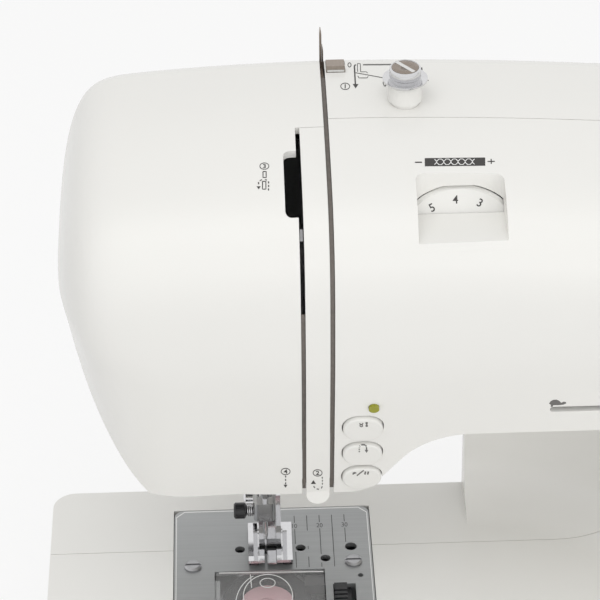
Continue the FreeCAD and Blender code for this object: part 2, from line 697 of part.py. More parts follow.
KNOB = 5
flange_top = "-plate_thick - gap"
latch_knob = block(("latch_left + gap", f"latch_left + gap + {KNOB}"),
                   ("gap - latch_front", "-latch_rear - gap"),
                   (flange_top, 1))
latch_flange = block(("latch_left - 1.5", f"latch_left + gap + {KNOB} + 1.5"),
                     ("-latch_front - 1", "-latch_rear + 1"),
                     (f"{flange_top} - 1.4", flange_top))
latch_grooves = [block(("latch_left", f"latch_left + {KNOB} + 1"),
                       (f"{step} - latch_front", f"{step} - latch_front + 0.9"),
                       (0.5, 2)) for step in (3.0, 5.4, 7.8, 10.2)]
node("cover_latch", cut(fuse(latch_knob, latch_flange), *latch_grooves))

bobbin_low = "-bobbin_top - bobbin_height"
node("bobbin", turned([(3, bobbin_low), ("bobbin_radius", bobbin_low), ("bobbin_radius", f"{bobbin_low} + 1"),
                       (4.5, f"{bobbin_low} + 1.4"), (4.5, "-bobbin_top - 1.4"),
                       ("bobbin_radius", "-bobbin_top - 1"),
                       ("bobbin_radius", "-bobbin_top"), (3, "-bobbin_top")], "hook_x", "-hook_y", 0))

case_rim = -6
cup_floor = f"{bobbin_low} - gap"
case_low = f"{cup_floor} - 1.6"
case_cup = turned([(0, case_low), ("case_radius", case_low), ("case_radius", case_rim),
                   ("bobbin_radius + 2 * gap", case_rim),
                   ("bobbin_radius + 2 * gap", cup_floor), ("3 - gap", cup_floor),
                   ("3 - gap", "-bobbin_top - 4"),
                   (0, "-bobbin_top - 4")], "hook_x", "-hook_y", 0)
case_stop = block(("hook_x + case_radius - 2.5", "cover_right + 5"), (-18.6, -12.6),
                  (case_rim - 0.6, "-plate_thick"))
node("bobbin_case", fuse(case_cup, case_stop))


def bevel_gear(teeth, radius, mate_radius, bore, phase, x, y, z, axis):
    """A straight bevel gear: apex at the crossing of the two shafts, tooth gaps drawn in towards it."""
    face, addendum, dedendum, gap_share = 3.2, 0.7, 1.1, 0.62
    slope = math.atan2(radius, mate_radius)
    outward = Vector(math.cos(slope), 0, -math.sin(slope))
    pitch_point = Vector(radius, 0, mate_radius)
    inner = 1 - face / pitch_point.Length
    tip, root = pitch_point + outward * addendum, pitch_point - outward * dedendum
    back = mate_radius + GEAR_BACK
    corners = [Vector(bore, 0, root.z * inner), root * inner, tip * inner, tip, root, Vector(root.x, 0, back),
               Vector(bore, 0, back)]
    blank = Part.Face(Part.makePolygon(corners + corners[:1])).revolve(Vector(), Vector(0, 0, 1), 360)
    half_gap = gap_share * math.pi * radius / teeth
    flank = math.tan(math.radians(20))
    grooves = []
    for index in range(teeth):
        wires = []
        for scale in (1.15, inner * 0.8):
            loop = []
            for along, side in ((addendum + 0.6, 1), (-dedendum, 1), (-dedendum, -1), (addendum + 0.6, -1)):
                half = half_gap + along * flank
                loop.append((pitch_point + outward * along + Vector(0, side * half, 0)) * scale)
            wires.append(Part.makePolygon(loop + loop[:1]))
        groove = Part.makeLoft(wires, True, True)
        groove.rotate(Vector(), Vector(0, 0, 1), (index + phase) * 360 / teeth)
        grooves.append(groove)
    obj = doc.addObject("Part::Feature", "gear")
    obj.Shape = blank.cut(grooves)
    return seat(obj, x, y, z, TURNS[axis])


# Hook and its pinion, driven by the gear on the lower shaft: two turns of the hook for one of the shaft
GEAR_RADIUS, PINION_RADIUS = 10.0, 5.0
GEAR_BACK = 1.7
pinion = bevel_gear(10, PINION_RADIUS, GEAR_RADIUS, 0.0, 0.5, "hook_x", "-hook_y", "-lower_shaft_z", "z")
spindle_low = f"{GEAR_RADIUS + GEAR_BACK} - lower_shaft_z"
hook_floor = f"{case_low} - gap"
hook_cup = turned([(0, spindle_low), (5, spindle_low), (5, f"{hook_floor} - 2"),
                   ("hook_radius", f"{hook_floor} - 2"),
                   ("hook_radius", -7), ("case_radius + gap", -7), ("case_radius + gap", hook_floor),
                   (0, hook_floor)],
                  "hook_x", "-hook_y", 0)
hook_notch = block(("hook_x + 4", "hook_x + 12"), ("8 - hook_y", "24 - hook_y"), (-12.5, -6))
node("hook", fuse(cut(hook_cup, hook_notch), pinion))
node("lower_gear", bevel_gear(20, GEAR_RADIUS, PINION_RADIUS, size("lower_shaft_radius"), 0.0, "hook_x",
                              "-hook_y",
                              "-lower_shaft_z", "x"))


def toothed_row(left, right, first, last):
    """One row of feed teeth, slanted to the rear like saw teeth."""
    pitch, rise = 1.5, 0.8
    outline = [(first, -4)]
    count = int((last - first) / pitch)
    for index in range(count):
        start = first + index * pitch
        outline += [(start, f"feed_top - {rise}"), (start + 0.4, "feed_top"),
                    (start + 1.3, f"feed_top - {rise}")]
    outline += [(last, f"feed_top - {rise}"), (last, -4)]
    return padded("YZ_Plane", outline, right - left, left, 0, 0)


# Feed: the bar runs to and fro on two rails, the dog drops on two pins
FEED_PINS = ((-3.6, 11.0), (3.6, 11.0))
FEED_PIN = 2.0
RAILS_X = (-9.5, 9.5)
RAIL = 2.2
RAIL_Z = -18.5
dog_base = block((-9, 9), (3.5, 15), (-10, -3.4))
dog_pins = [rod(FEED_PIN, 11, x, y, -20) for x, y in FEED_PINS]
feed_rows = [toothed_row(-ROW[1], -ROW[0], *ROW_Y), toothed_row(ROW[0], ROW[1], *ROW_Y),
             toothed_row(-MIDDLE_ROW, MIDDLE_ROW, *MIDDLE_Y)]
node("feed_dog", fuse(dog_base, *dog_pins, *feed_rows))
feed_block = block((-13, 13), (4, 22), (-24, -12.9))
feed_bores = [rod(f"{FEED_PIN} + running", 30, x, y, -32) for x, y in FEED_PINS]
rail_bores = [rod(f"{RAIL} + running", 40, x, -5, RAIL_Z, "y") for x in RAILS_X]
node("feed_bar", cut(feed_block, *feed_bores, *rail_bores))

# Cast frame inside the casings
PIVOT_Z = 146
LEVER_Y, LEVER_Z = -26, 128
LIFTER_Y, LIFTER_Z = 34.6, 92
ARM_BEARINGS = ((34, 12), (252, 10))
LOWER_BEARINGS = ((30, 10), (214, 6))
ARM_RING, LOWER_RING = 8, 6.5
HOOK_PLATE = -25.4
bar_x = "-needle_offset"
pivot_x = "-needle_offset - 14"
frame_blocks = [
    block((28, 262), (26, 34), (118, 160)),
    block((-32, 34), (24, 30), (64, 172)),
    block((176, 262), (26, 34), ("wall - bed_depth", 119)),
    block((-60, 177), (26, 34), (-50, -12)),
    block((-36, 38), (-45, 27), (HOOK_PLATE - 4.5, HOOK_PLATE)),
    block((-6, 6), ("presser_y - 5", 25), (66, 74)),
    block((-6, 6), ("presser_y - 5", 25), (122, 130)),
    block((15, 21), (-31, 25), (96, 104)),
    block((15, 19), (LEVER_Y - 4, LEVER_Y + 4), (103, LEVER_Z + 6)),
    block((180, 212), (16, 27), ("motor_z - 12", "motor_z + 12")),
    block((SPOOL[0] - 6, SPOOL[0] + 6), (SPOOL[1] - 6, 27), (150, 160)),
    block((246, 268), (4, 34), (168, 175.6)),
    block((248, 260), (26, 34), (159, 169)),
    block((-9, -5), (29, 39), (LIFTER_Z - 8, LIFTER_Z + 8)),
    block((5, 9), (29, 39), (LIFTER_Z - 8, LIFTER_Z + 8)),
    rod(PIN_RADIUS, 32, pivot_x, -6, PIVOT_Z, "y"),
    rod(2, 6, 10, LEVER_Y, LEVER_Z, "x"),
    rod(2, 16, -8, LIFTER_Y, LIFTER_Z, "x"),
]
for x, length in ARM_BEARINGS:
    frame_blocks.append(block((x, x + length), (-9, 27), ("arm_shaft_z - 10", "arm_shaft_z + 10")))
for x, length in LOWER_BEARINGS:
    frame_blocks.append(block((x, x + length), ("-hook_y - 8", 27),
                              ("-lower_shaft_z - 8", "8 - lower_shaft_z")))
frame_blocks += [rod(RAIL, 26, x, 1, RAIL_Z, "y") for x in RAILS_X]
frame_blocks += [rod(4.5, f"{-HOOK_PLATE} + 0.5 - plate_thick", x, y, HOOK_PLATE - 0.5)
                 for x, y in PLATE_SCREWS]
screw_tips = []
for places, start, rear in ((FACE_SCREWS, 29, "arm_rear"), (ARM_SCREWS, 33, "arm_rear"),
                            (BED_SCREWS, 33, "bed_rear")):
    for x, z in places:
        frame_blocks.append(rod(5, f"{rear} - wall - 0.1 - {start}", x, start, z, "y"))
        screw_tips.append(rod(SCREW_RADIUS, 10, x, f"{rear} - wall - 8", z, "y"))
frame_cuts = [
    rod("5 + running", 20, "hook_x", "-hook_y", "6 - lower_shaft_z"),
    rod("presser_radius + running", 100, 0, "presser_y", 50),
    rod("motor_radius", 80, 165, 0, "motor_z", "x"),
]
frame_cuts += [rod(ARM_RING, length + 10, x - 5, 0, "arm_shaft_z", "x") for x, length in ARM_BEARINGS]
frame_cuts += [rod(LOWER_RING, length + 10, x - 5, "-hook_y", "-lower_shaft_z", "x")
               for x, length in LOWER_BEARINGS]
frame_cuts += [rod(SHANK, 12, x, y, -11) for x, y in PLATE_SCREWS]
node("main_frame", cut(fuse(*frame_blocks), *frame_cuts, *screw_tips))

rings = []
for bearings, ring, shaft, y, z in ((ARM_BEARINGS, ARM_RING, "arm_shaft_radius", 0, "arm_shaft_z"),
                                    (LOWER_BEARINGS, LOWER_RING, "lower_shaft_radius", "-hook_y",
                                     "-lower_shaft_z")):
    for x, length in bearings:
        rings.append(cut(rod(ring, length, x, y, z, "x"),
                         rod(f"{shaft} + running", length + 10, x - 5, y, z, "x")))
node("shaft_bushings", fuse(*rings))

heads = []
for places, rear in ((FACE_SCREWS + ARM_SCREWS, "arm_rear"), (BED_SCREWS, "bed_rear")):
    for x, z in places:
        screw = turned([(0, "-wall - 8"), (SCREW_RADIUS, "-wall - 8"), (SCREW_RADIUS, 0.1), (3.6, 0.1),
                        (3.6, 0.9),
                        (2.6, 1.7), (0, 1.7)], x, rear, z, "y")
        slots = [block((x - 2, x + 2), (f"{rear} + 0.8", f"{rear} + 3"), (z - 0.5, z + 0.5)),
                 block((x - 0.5, x + 0.5), (f"{rear} + 0.8", f"{rear} + 3"), (z - 2, z + 2))]
        heads.append(cut(screw, *slots))
node("casing_screws", fuse(*heads))

# Drive: motor, belts, arm shaft with crank and handwheel, lower shaft
CRANK_X, CRANK_THICK, CRANK_THROW = 20, 8, 15
WHEEL_BORE = 16
wheel_x = "body_right + 0.6"
node("arm_shaft", rod("arm_shaft_radius", f"{wheel_x} + {WHEEL_BORE} - {CRANK_X}", CRANK_X, 0,
                      "arm_shaft_z", "x"))
crank_plate = rod(19, CRANK_THICK, CRANK_X, 0, "arm_shaft_z", "x")
crank_waist = [block((CRANK_X - 1, CRANK_X + CRANK_THICK + 1), sides, ("arm_shaft_z - 25", "arm_shaft_z - 4"))
               for sides in ((-25, -8), (8, 25))]
crank_pin = rod(PIN_RADIUS, 5.4, CRANK_X - 5.4, 0, f"arm_shaft_z - {CRANK_THROW}", "x")
crank_bore = rod("arm_shaft_radius", CRANK_THICK + 10, CRANK_X - 1, 0, "arm_shaft_z", "x")
node("crank_disc", cut(fuse(cut(crank_plate, *crank_waist), crank_pin), crank_bore))

wheel = turned([("arm_shaft_radius", 0), ("handwheel_radius - 5", 0), ("handwheel_radius", 3),
                ("handwheel_radius", 15),
                ("handwheel_radius - 3", "handwheel_out - 2"), ("handwheel_radius - 9", "handwheel_out"),
                (12, "handwheel_out - 1.5"), (0, "handwheel_out - 1.5"), (0, WHEEL_BORE),
                ("arm_shaft_radius", WHEEL_BORE)], wheel_x, 0, "arm_shaft_z", "x")
grips = []
GRIPS = 24
for index in range(GRIPS):
    angle = 360 * index / GRIPS
    grips.append(rod(1.3, 30, f"{wheel_x} + 4", f"(handwheel_radius + 0.5) * cos({angle} deg)",
                     f"arm_shaft_z + (handwheel_radius + 0.5) * sin({angle} deg)", "x"))
node("handwheel", cut(wheel, *grips))


def pulley_outline(start, radius, lip):
    """Flange, belt channel and flange of a pulley, from a height along its axis."""
    edge = f"{radius} + {lip}"
    return [(edge, start), (edge, f"{start} + 1.2"), (radius, f"{start} + 1.2"),
            (radius, f"{start} + 2.2 + belt_width"),
            (edge, f"{start} + 2.2 + belt_width"), (edge, f"{start} + 3.4 + belt_width")]


PULLEYS_X = 222.0
step = "2.2 + belt_width"
drive_side = pulley_outline(0, "drive_pulley_radius", 1.6)
timing_side = pulley_outline(step, "pulley_radius", 1.2)[2:]
node("arm_pulley", turned([("arm_shaft_radius", 0)] + drive_side + timing_side
                          + [("arm_shaft_radius", f"{step} + 3.4 + belt_width")], PULLEYS_X, 0,
                          "arm_shaft_z", "x"))
shaft_start = "hook_x + 2"
pulley_start = f"{PULLEYS_X} + {step} - ({shaft_start})"
shaft_end = f"{pulley_start} + 6 + belt_width"
node("lower_shaft", turned([(0, 0), ("lower_shaft_radius", 0), ("lower_shaft_radius", pulley_start)]
                           + pulley_outline(pulley_start, "pulley_radius", 1.2)
                           + [("lower_shaft_radius", f"{pulley_start} + 3.4 + belt_width"),
                              ("lower_shaft_radius", shaft_end), (0, shaft_end)],
                           shaft_start, "-hook_y", "-lower_shaft_z", "x"))
MOTOR_X = (170.0, 218.0)
MOTOR_SHAFT = 3.0
AXLE_IN = 9.5
node("motor", cut(rod("motor_radius", MOTOR_X[1] - MOTOR_X[0], MOTOR_X[0], 0, "motor_z", "x"),
                  rod(f"{MOTOR_SHAFT} + running", 20, MOTOR_X[1] - AXLE_IN - 2, 0, "motor_z", "x")))
axle = PULLEYS_X - MOTOR_X[1] + AXLE_IN
node("motor_pulley", turned([(0, 0), (MOTOR_SHAFT, 0), (MOTOR_SHAFT, axle)]
                            + pulley_outline(axle, "motor_pulley_radius", 1.6)
                            + [(0, f"{axle} + 3.4 + belt_width")], MOTOR_X[1] - AXLE_IN, 0, "motor_z", "x"))


def belt_loop(first, first_radius, second, second_radius):
    """Two arcs joined by the outer tangents of two circles in the y-z plane."""
    along = second - first
    heading = math.atan2(along.z, along.y)
    spread = math.acos((first_radius - second_radius) / along.Length)
    ends = []
    for side in (1, -1):
        normal = Vector(0, math.cos(heading + side * spread), math.sin(heading + side * spread))
        ends.append((first + normal * first_radius, second + normal * second_radius))
    away = Vector(0, math.cos(heading), math.sin(heading))
    (first_left, second_left), (first_right, second_right) = ends
    return Part.Wire([Part.makeLine(first_left, second_left),
                      Part.Arc(second_left, second + away * second_radius, second_right).toShape(),
                      Part.makeLine(second_right, first_right),
                      Part.Arc(first_right, first - away * first_radius, first_left).toShape()])


def belt(label, x, first, first_radius, second, second_radius):
    """A smooth belt just clear of its two pulleys."""
    inside = belt_loop(first, first_radius + seam, second, second_radius + seam)
    reach = seam + size("belt_thick")
    outside = belt_loop(first, first_radius + reach, second, second_radius + reach)
    run = Vector(size("belt_width"), 0, 0)
    shape = Part.Face(outside).extrude(run).cut(Part.Face(inside).extrude(run))
    shape.translate(Vector(x, 0, 0))
    return shaped(label, shape)


arm_centre = Vector(0, 0, size("arm_shaft_z"))
BELT_START = 1.7
belt("motor_belt", PULLEYS_X + BELT_START, arm_centre, size("drive_pulley_radius"),
     Vector(0, 0, size("motor_z")),
     size("motor_pulley_radius"))
belt("timing_belt", PULLEYS_X + value(step) + BELT_START, arm_centre, size("pulley_radius"),
     Vector(0, -size("hook_y"), -size("lower_shaft_z")), size("pulley_radius"))

# Needle bar in its swinging cradle
node("needle_bar", rod("needle_bar_radius", "needle_bar_length", bar_x, 0, "needle_bar_low"))
cradle_blocks = [block((f"{pivot_x} - 2", f"{pivot_x} + 2"), (-6, 6), (62, PIVOT_Z)),
                 block((f"{pivot_x} + 1", f"{bar_x} + 4.6"), (-5.6, 5.6), (62, 70)),
                 block((f"{pivot_x} + 1", f"{bar_x} + 4.6"), (-5.6, 5.6), (116, 124)),
                 rod(5, 12, pivot_x, -6, PIVOT_Z, "y")]
cradle_bores = [rod("needle_bar_radius + running", 100, bar_x, 0, 50),
                rod(f"{PIN_RADIUS} + running", 40, pivot_x, -20, PIVOT_Z, "y")]
node("needle_bar_cradle", cut(fuse(*cradle_blocks), *cradle_bores))
node("needle", turned([(0, "needle_bar_low"), (1, "needle_bar_low"), (1, 10), (0.55, 7), (0.5, -9),
                       (0, -12.5)],
                      bar_x, 0, 0))
CLAMP_SCREW_Z = 21.5
clamp_body = padded("XY_Plane", [(-4.6, -4.8), (4.2, -4.8), (4.2, 4.8), (-4.6, 4.8)], 8.5, bar_x, 0, 19.5,
                    rounding=2.2)
clamp_bores = [rod("needle_bar_radius", 20, bar_x, 0, "needle_bar_low"),
               rod("1 + running", 8, bar_x, 0, 18),
               rod("1.5 + running", 7, f"{bar_x} - 8", 0, CLAMP_SCREW_Z, "x")]
node("needle_clamp", cut(clamp_body, *clamp_bores))
node("clamp_screw", turned([(0, 0), (2.6, 0), (3.2, 0.6), (3.2, 4.2), (2, 5), (1.5, 5), (1.5, 10.8),
                            (0, 10.8)],
                           f"{bar_x} - 12.2", 0, CLAMP_SCREW_Z, "x"))
link_ring = block((f"{bar_x} - 5", f"{bar_x} + 5.4"), (-5.4, 5.4), (75, 83))
link_arm = padded("YZ_Plane", [(-4, 76), (4, 76), (3, 132), (-3, 132)], 3.6, f"{bar_x} + 5.4", 0, 0)
link_eye = rod(5.4, 3.6, f"{bar_x} + 5.4", 0, f"arm_shaft_z - {CRANK_THROW}", "x")
link_bores = [rod("needle_bar_radius", 20, bar_x, 0, 70),
              rod(f"{PIN_RADIUS} + running", 10, f"{bar_x} + 3", 0, f"arm_shaft_z - {CRANK_THROW}", "x")]
node("needle_bar_link", cut(fuse(link_ring, link_arm, link_eye), *link_bores))

lever_right = "strip_left - seam"
lever_plate = padded("YZ_Plane", [(-3.5, 0), (3.5, 0), (-17, 51), (-20.5, 54.6), (-24, 52), (-19.5, 46)], 1,
                     f"{lever_right} - 1", LEVER_Y, LEVER_Z)
lever_boss = rod(4.6, 3, f"{lever_right} - 3", LEVER_Y, LEVER_Z, "x")
lever_cuts = [rod("2 + running", 20, 5, LEVER_Y, LEVER_Z, "x"),
              rod(1.2, 20, 5, LEVER_Y - 20.4, LEVER_Z + 51, "x")]
node("take_up_lever", cut(fuse(lever_plate, lever_boss), *lever_cuts))

# Presser bar, lifter and clip-in foot
FOOT_PIN = 1.1
FOOT_SCREW_Z = 17
node("presser_bar", rod("presser_radius", 126, 0, "presser_y", 12))
holder_blocks = [block((-4.4, 4.4), ("presser_y - 5", "presser_y + 5"), (9.5, 22)),
                 block((-4.4, 4.4), (1.4, "presser_y"), (9.5, 12)),
                 block((-4.4, 4.4), ("foot_pivot_y - 2.6", "foot_pivot_y + 2.8"), ("foot_pivot_z - 2", 10))]
holder_cuts = [rod("presser_radius", 30, 0, "presser_y", 12),
               rod(f"{FOOT_PIN} + running", 20, -10, "foot_pivot_y", "foot_pivot_z", "x"),
               block((-10, 10), ("foot_pivot_y - 1", "foot_pivot_y + 1"), (0, "foot_pivot_z")),
               rod("1.6 + running", 8, -9, "presser_y", FOOT_SCREW_Z, "x")]
node("foot_holder", cut(fuse(*holder_blocks), *holder_cuts))
node("foot_screw", turned([(0, 0), (3.6, 0), (4.4, 0.8), (4.4, 4), (3, 5), (1.6, 5), (1.6, 7), (0, 7)],
                          "-presser_radius - 7", "presser_y", FOOT_SCREW_Z, "x"))
sole_top = "sole_height + 1.6"
sole = padded("YZ_Plane", [("-foot_front", sole_top), ("4 - foot_front", "sole_height"),
                           ("foot_rear", "sole_height"),
                           ("foot_rear", sole_top), ("4.4 - foot_front", sole_top),
                           ("-foot_front", f"{sole_top} + 1.3")],
              "foot_width", "-foot_width / 2", 0, 0)
sole_cuts = [block((-2.4, 2.4), ("-foot_front - 1", 0), (0, 6)), block((-4.4, 4.4), (-1.5, 1.6), (0, 6))]
ears = [block(sides, ("foot_pivot_y - 2.4", "foot_pivot_y + 2.6"), ("sole_height + 1", "foot_pivot_z + 2"))
        for sides in ((-6.6, -4.9), (4.9, 6.6))]
foot_pin = rod(FOOT_PIN, 13.2, -6.6, "foot_pivot_y", "foot_pivot_z", "x")
node("presser_foot", fuse(cut(sole, *sole_cuts), *ears, foot_pin))
lifter_arm = padded("YZ_Plane", [(0, -4.2), (10, -3.6), (21, -6), (21.5, -2.6), (10, 0.6), (0, 4.2)], 6, -3,
                    LIFTER_Y,
                    LIFTER_Z)
lifter_hub = rod(4.2, 9.2, -4.6, LIFTER_Y, LIFTER_Z, "x")
node("lifter_lever", cut(fuse(lifter_arm, lifter_hub), rod("2 + running", 20, -10, LIFTER_Y, LIFTER_Z, "x")))

# Thread path on top of the arm
prong_left, prong_y = "strip_right + 0.15", "slot_end - 0.2"
prongs = [padded("XZ_Plane", [(0, 0), (0.8, 0), (0.8, 17), (0.5, 19), (0.2, 19), (0, 17)], 2.2, prong_left,
                 prong_y,
                 "arm_top - 8"),
          padded("XZ_Plane", [(0, 0), (0.5, 0), (0.5, 10), (0.2, 12), (0, 12)], 2.2, "slot_right - 0.65",
                 prong_y,
                 "arm_top - 8"),
          block((prong_left, "slot_right - 0.15"), (f"{prong_y} - 2.2", prong_y),
                ("arm_top - 8", "arm_top - 5")),
          block((f"{prong_left} + 0.15", "slot_right - 0.3"), (25, f"{prong_y} - 1"), (172, "arm_top - 5"))]
node("thread_prongs", fuse(*prongs))
guide_low = f"0.1 - {GUIDE_SINK}"
guide_depth = GUIDE_Y[1] - GUIDE_Y[0] - 0.4
node("top_thread_guide", padded("YZ_Plane", [(0, guide_low), (guide_depth, guide_low), (guide_depth, 0.2),
                                             (0.9, 0.2),
                                             (0.9, 2.4), (0, 2.4)], GUIDE_WIDTH - 0.4,
                                "slot_right + gap + 0.2",
                                GUIDE_Y[0] + 0.2, "arm_top"))
post_low = "arm_top - 4.6"
disc_low = f"{post_low} + 4.4 + post_height"
node("pretension_post", turned([(0, 0), ("post_radius - 0.8", 0), ("post_radius - 0.8", 3.4),
                                ("post_radius", 3.8),
                                ("post_radius", "3.8 + post_height"),
                                ("post_radius - 0.6", "4.4 + post_height"),
                                (0, "4.4 + post_height")], "post_x", "post_y", post_low))
node("pretension_disc", turned([(1.8, 0), (5.5, 0), ("post_radius + 2", 0.9), ("post_radius + 2", 1.5),
                                (5.2, 0.8),
                                (5.2, 2), (1.8, 2)], "post_x", "post_y", disc_low))
screw_head = turned([(0, 0), (1.8, 0), (1.8, 2), (5.4, 2), (5.6, 3.6), (4.4, 5.2), (2.2, 6), (0, 6.2)],
                    "post_x", "post_y",
                    disc_low)
screw_slot = block(("post_x - 7", "post_x + 7"), ("post_y - 0.6", "post_y + 0.6"),
                   (f"{disc_low} + 4.6", f"{disc_low} + 8"))
node("pretension_screw", cut(screw_head, screw_slot))

SPOOL_SEAT = 36
node("spool_pin", turned([(0, 0), (SPOOL_SHANK, 0), (SPOOL_SHANK, SPOOL_SEAT - 1), (9, SPOOL_SEAT),
                          (9, SPOOL_SEAT + 1.4),
                          (2.8, SPOOL_SEAT + 3), (2.8, SPOOL_SEAT + 42), (1.6, SPOOL_SEAT + 44),
                          (0, SPOOL_SEAT + 44)],
                         SPOOL[0], SPOOL[1], 160))
winder_body = block((WINDER[0] - 12, WINDER[0] + 7), (WINDER[1] - 7, WINDER[1] + 7), (176, 181))
node("winder_slide", cut(winder_body, rod("3 + running", 20, WINDER[0], WINDER[1], 170)))
node("winder_spindle", turned([(0, 0), (3, 0), (3, 5.4), (7, 5.4), (7, 7.6), (3.4, 7.6), (3.4, 20),
                               (8.5, 20.6), (8.5, 22),
                               (2.9, 22), (2.9, 33), (1.9, 34), (0, 34)], WINDER[0], WINDER[1], 176))

GRIP_DROP, GRIP_HIGH = 28, 10
handle_left, handle_right = HANDLE_X[0] - 7, HANDLE_X[1] + 7
SIDE = 2.5
handle = padded("XZ_Plane", [(handle_left, -GRIP_DROP), (handle_right, -GRIP_DROP), (handle_right, 3.2),
                             (handle_right - SIDE, 3.2), (handle_right - SIDE, GRIP_HIGH - GRIP_DROP),
                             (handle_left + SIDE, GRIP_HIGH - GRIP_DROP), (handle_left + SIDE, 3.2),
                             (handle_left, 3.2)],
                5, 0, HANDLE_Y + 2.5, HANDLE_Z)
handle_pins = [rod(PIN_RADIUS, 6, x, HANDLE_Y, HANDLE_Z, "x") for x in (handle_left + 1, handle_right - 7)]
node("carry_handle", fuse(handle, *handle_pins))

# Controls
dial = turned([(0, "-dial_thick"), ("dial_radius - 0.8", "-dial_thick"), ("dial_radius", "0.8 - dial_thick"),
               ("dial_radius", -1.4), ("dial_radius - 1.4", 0), (0, 0)], 0, 0, 0)
node("tension_dial", seat(dial, "dial_x", "-dial_y", "dial_z", DIAL_TURN))
for label, z in BUTTON_HEIGHTS.items():
    shaped(label, panel_prism(size("button_width"), size("button_height"), size("button_height") / 2 - 0.1,
                              size("button_x"), z, 5, size("button_stand"), soft=0.7))
lens = Part.makeCylinder(LED_RADIUS - 0.1, 4, Vector(0, 0, -3))
lens.Placement = led_hole.Placement
shaped("led_lens", lens)
SLIDER_X = 139.0
slider_parts = [panel_prism(12, 10, 3, SLIDER_X, size("slider_z"), -0.6, 7, soft=1.2),
                panel_prism(6, SLIDER_SLOT - 2 * gap, 1, SLIDER_X, size("slider_z"), 4, 1.5),
                panel_prism(12, 8, 1, SLIDER_X, size("slider_z"), 5.5, -3.4)]
shaped("speed_slider", slider_parts[0].fuse(slider_parts[1:]))

ROCKER = (266.0, -23.0)
rocker_y = (SWITCH_Y[0] + gap, SWITCH_Y[1] - gap)
rocker = padded("XZ_Plane", [(-4, -10.6), (4.6, -11.5), (5.4, 0), (7.6, 10.6), (-4, 10.2)],
                rocker_y[1] - rocker_y[0],
                ROCKER[0], rocker_y[1], ROCKER[1])
trunnion = rod(1.5, SWITCH_Y[1] - SWITCH_Y[0] + 3, ROCKER[0], SWITCH_Y[0] - 1.5, ROCKER[1], "y")
node("power_switch", fuse(rocker, trunnion))
socket_end = "body_right - wall"
housing = block((256, socket_end), (SWITCH_Y[0] - 3, SWITCH_Y[1] + 3), (SWITCH_Z[0] - 3, SWITCH_Z[1] + 3))
housing_room = block((258, socket_end), SWITCH_Y, SWITCH_Z)
trunnion_bore = rod("1.5 + running", SWITCH_Y[1] - SWITCH_Y[0] + 4, ROCKER[0], SWITCH_Y[0] - 2, ROCKER[1],
                    "y")
bridge = block((256, 259), (INLET_Y[1] - 2, SWITCH_Y[0] - 2), (-34, -16))
inlet_body = block((252, "body_right - 0.6"), (INLET_Y[0] + gap, INLET_Y[1] - gap),
                   (INLET_Z[0] + gap, INLET_Z[1] - gap))
inlet_room = block((256, "body_right"), (INLET_Y[0] + 3, INLET_Y[1] - 3), (INLET_Z[0] + 3, INLET_Z[1] - 3))
inlet_pins = [rod(1.2, 10, 255, y, -25, "x") for y in (-25.5, -16.5)]
inlet = cut(fuse(housing, bridge, inlet_body), housing_room, trunnion_bore, inlet_room)
node("power_inlet", fuse(inlet, *inlet_pins))


doc.recompute()
failed = [obj.Label for obj in doc.Objects if {"Invalid", "Error"} & set(obj.State)]
failed += [label for label, obj in nodes.items() if obj.Shape.isNull() or not obj.Shape.isValid()]
if failed:
    raise RuntimeError("failed pieces: " + ", ".join(failed))
for label, obj in nodes.items():
    obj.Shape.exportStep(f"parts/{label}.step")
print(len(nodes), "pieces written")
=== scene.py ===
"""Looks of the sewing machine: finishes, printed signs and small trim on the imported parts.

Lengths are metres in the frame of the part, or millimetres from the needle where a comment says so. Signs are
drawn on the picture plane of the camera, in its pixels, and laid on the surface behind them."""

import json
import math

import bmesh
import bpy
from mathutils import Matrix, Vector
from mathutils.bvhtree import BVHTree
from mathutils.geometry import tessellate_polygon


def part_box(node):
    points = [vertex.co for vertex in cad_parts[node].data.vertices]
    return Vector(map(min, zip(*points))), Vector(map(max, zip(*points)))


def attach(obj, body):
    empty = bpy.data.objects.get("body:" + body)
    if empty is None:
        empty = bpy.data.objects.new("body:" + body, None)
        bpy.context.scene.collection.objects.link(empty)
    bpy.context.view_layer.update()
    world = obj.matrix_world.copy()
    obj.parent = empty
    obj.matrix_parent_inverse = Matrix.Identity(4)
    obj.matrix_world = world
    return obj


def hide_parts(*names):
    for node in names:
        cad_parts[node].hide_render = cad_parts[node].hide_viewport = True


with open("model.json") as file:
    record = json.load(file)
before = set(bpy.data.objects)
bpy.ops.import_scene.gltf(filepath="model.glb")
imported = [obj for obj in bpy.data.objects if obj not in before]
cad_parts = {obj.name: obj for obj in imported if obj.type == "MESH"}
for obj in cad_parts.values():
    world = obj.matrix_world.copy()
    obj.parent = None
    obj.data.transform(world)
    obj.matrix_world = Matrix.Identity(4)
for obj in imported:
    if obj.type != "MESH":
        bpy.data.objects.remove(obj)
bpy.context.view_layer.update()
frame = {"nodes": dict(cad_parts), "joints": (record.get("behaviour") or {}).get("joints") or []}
NODES = frame["nodes"]
SCENE = bpy.context.scene
MM = 0.001

# Camera: place from the needle at the bed's top, turn, and focal length in pixels of a 600-pixel picture
NEEDLE = Vector((-0.1038, 0.02795, 0.075))
EYE = NEEDLE + Vector((-6.14, -834.05, 700.55)) * MM
YAW, PITCH, ROLL = 0.0232, 0.6073, -0.0154
FOCAL = 2744.46
PICTURE = 600.0
SENSOR_WIDTH = 36.0
CLIP_START = 0.05


def camera_axes():
    """Right, up and forward of the camera."""
    forward = Vector((math.sin(YAW) * math.cos(PITCH), math.cos(YAW) * math.cos(PITCH), -math.sin(PITCH)))
    right = Vector((math.cos(YAW), -math.sin(YAW), 0.0))
    up = right.cross(forward)
    rolled_right = right * math.cos(ROLL) + up * math.sin(ROLL)
    rolled_up = up * math.cos(ROLL) - right * math.sin(ROLL)
    return rolled_right, rolled_up, forward


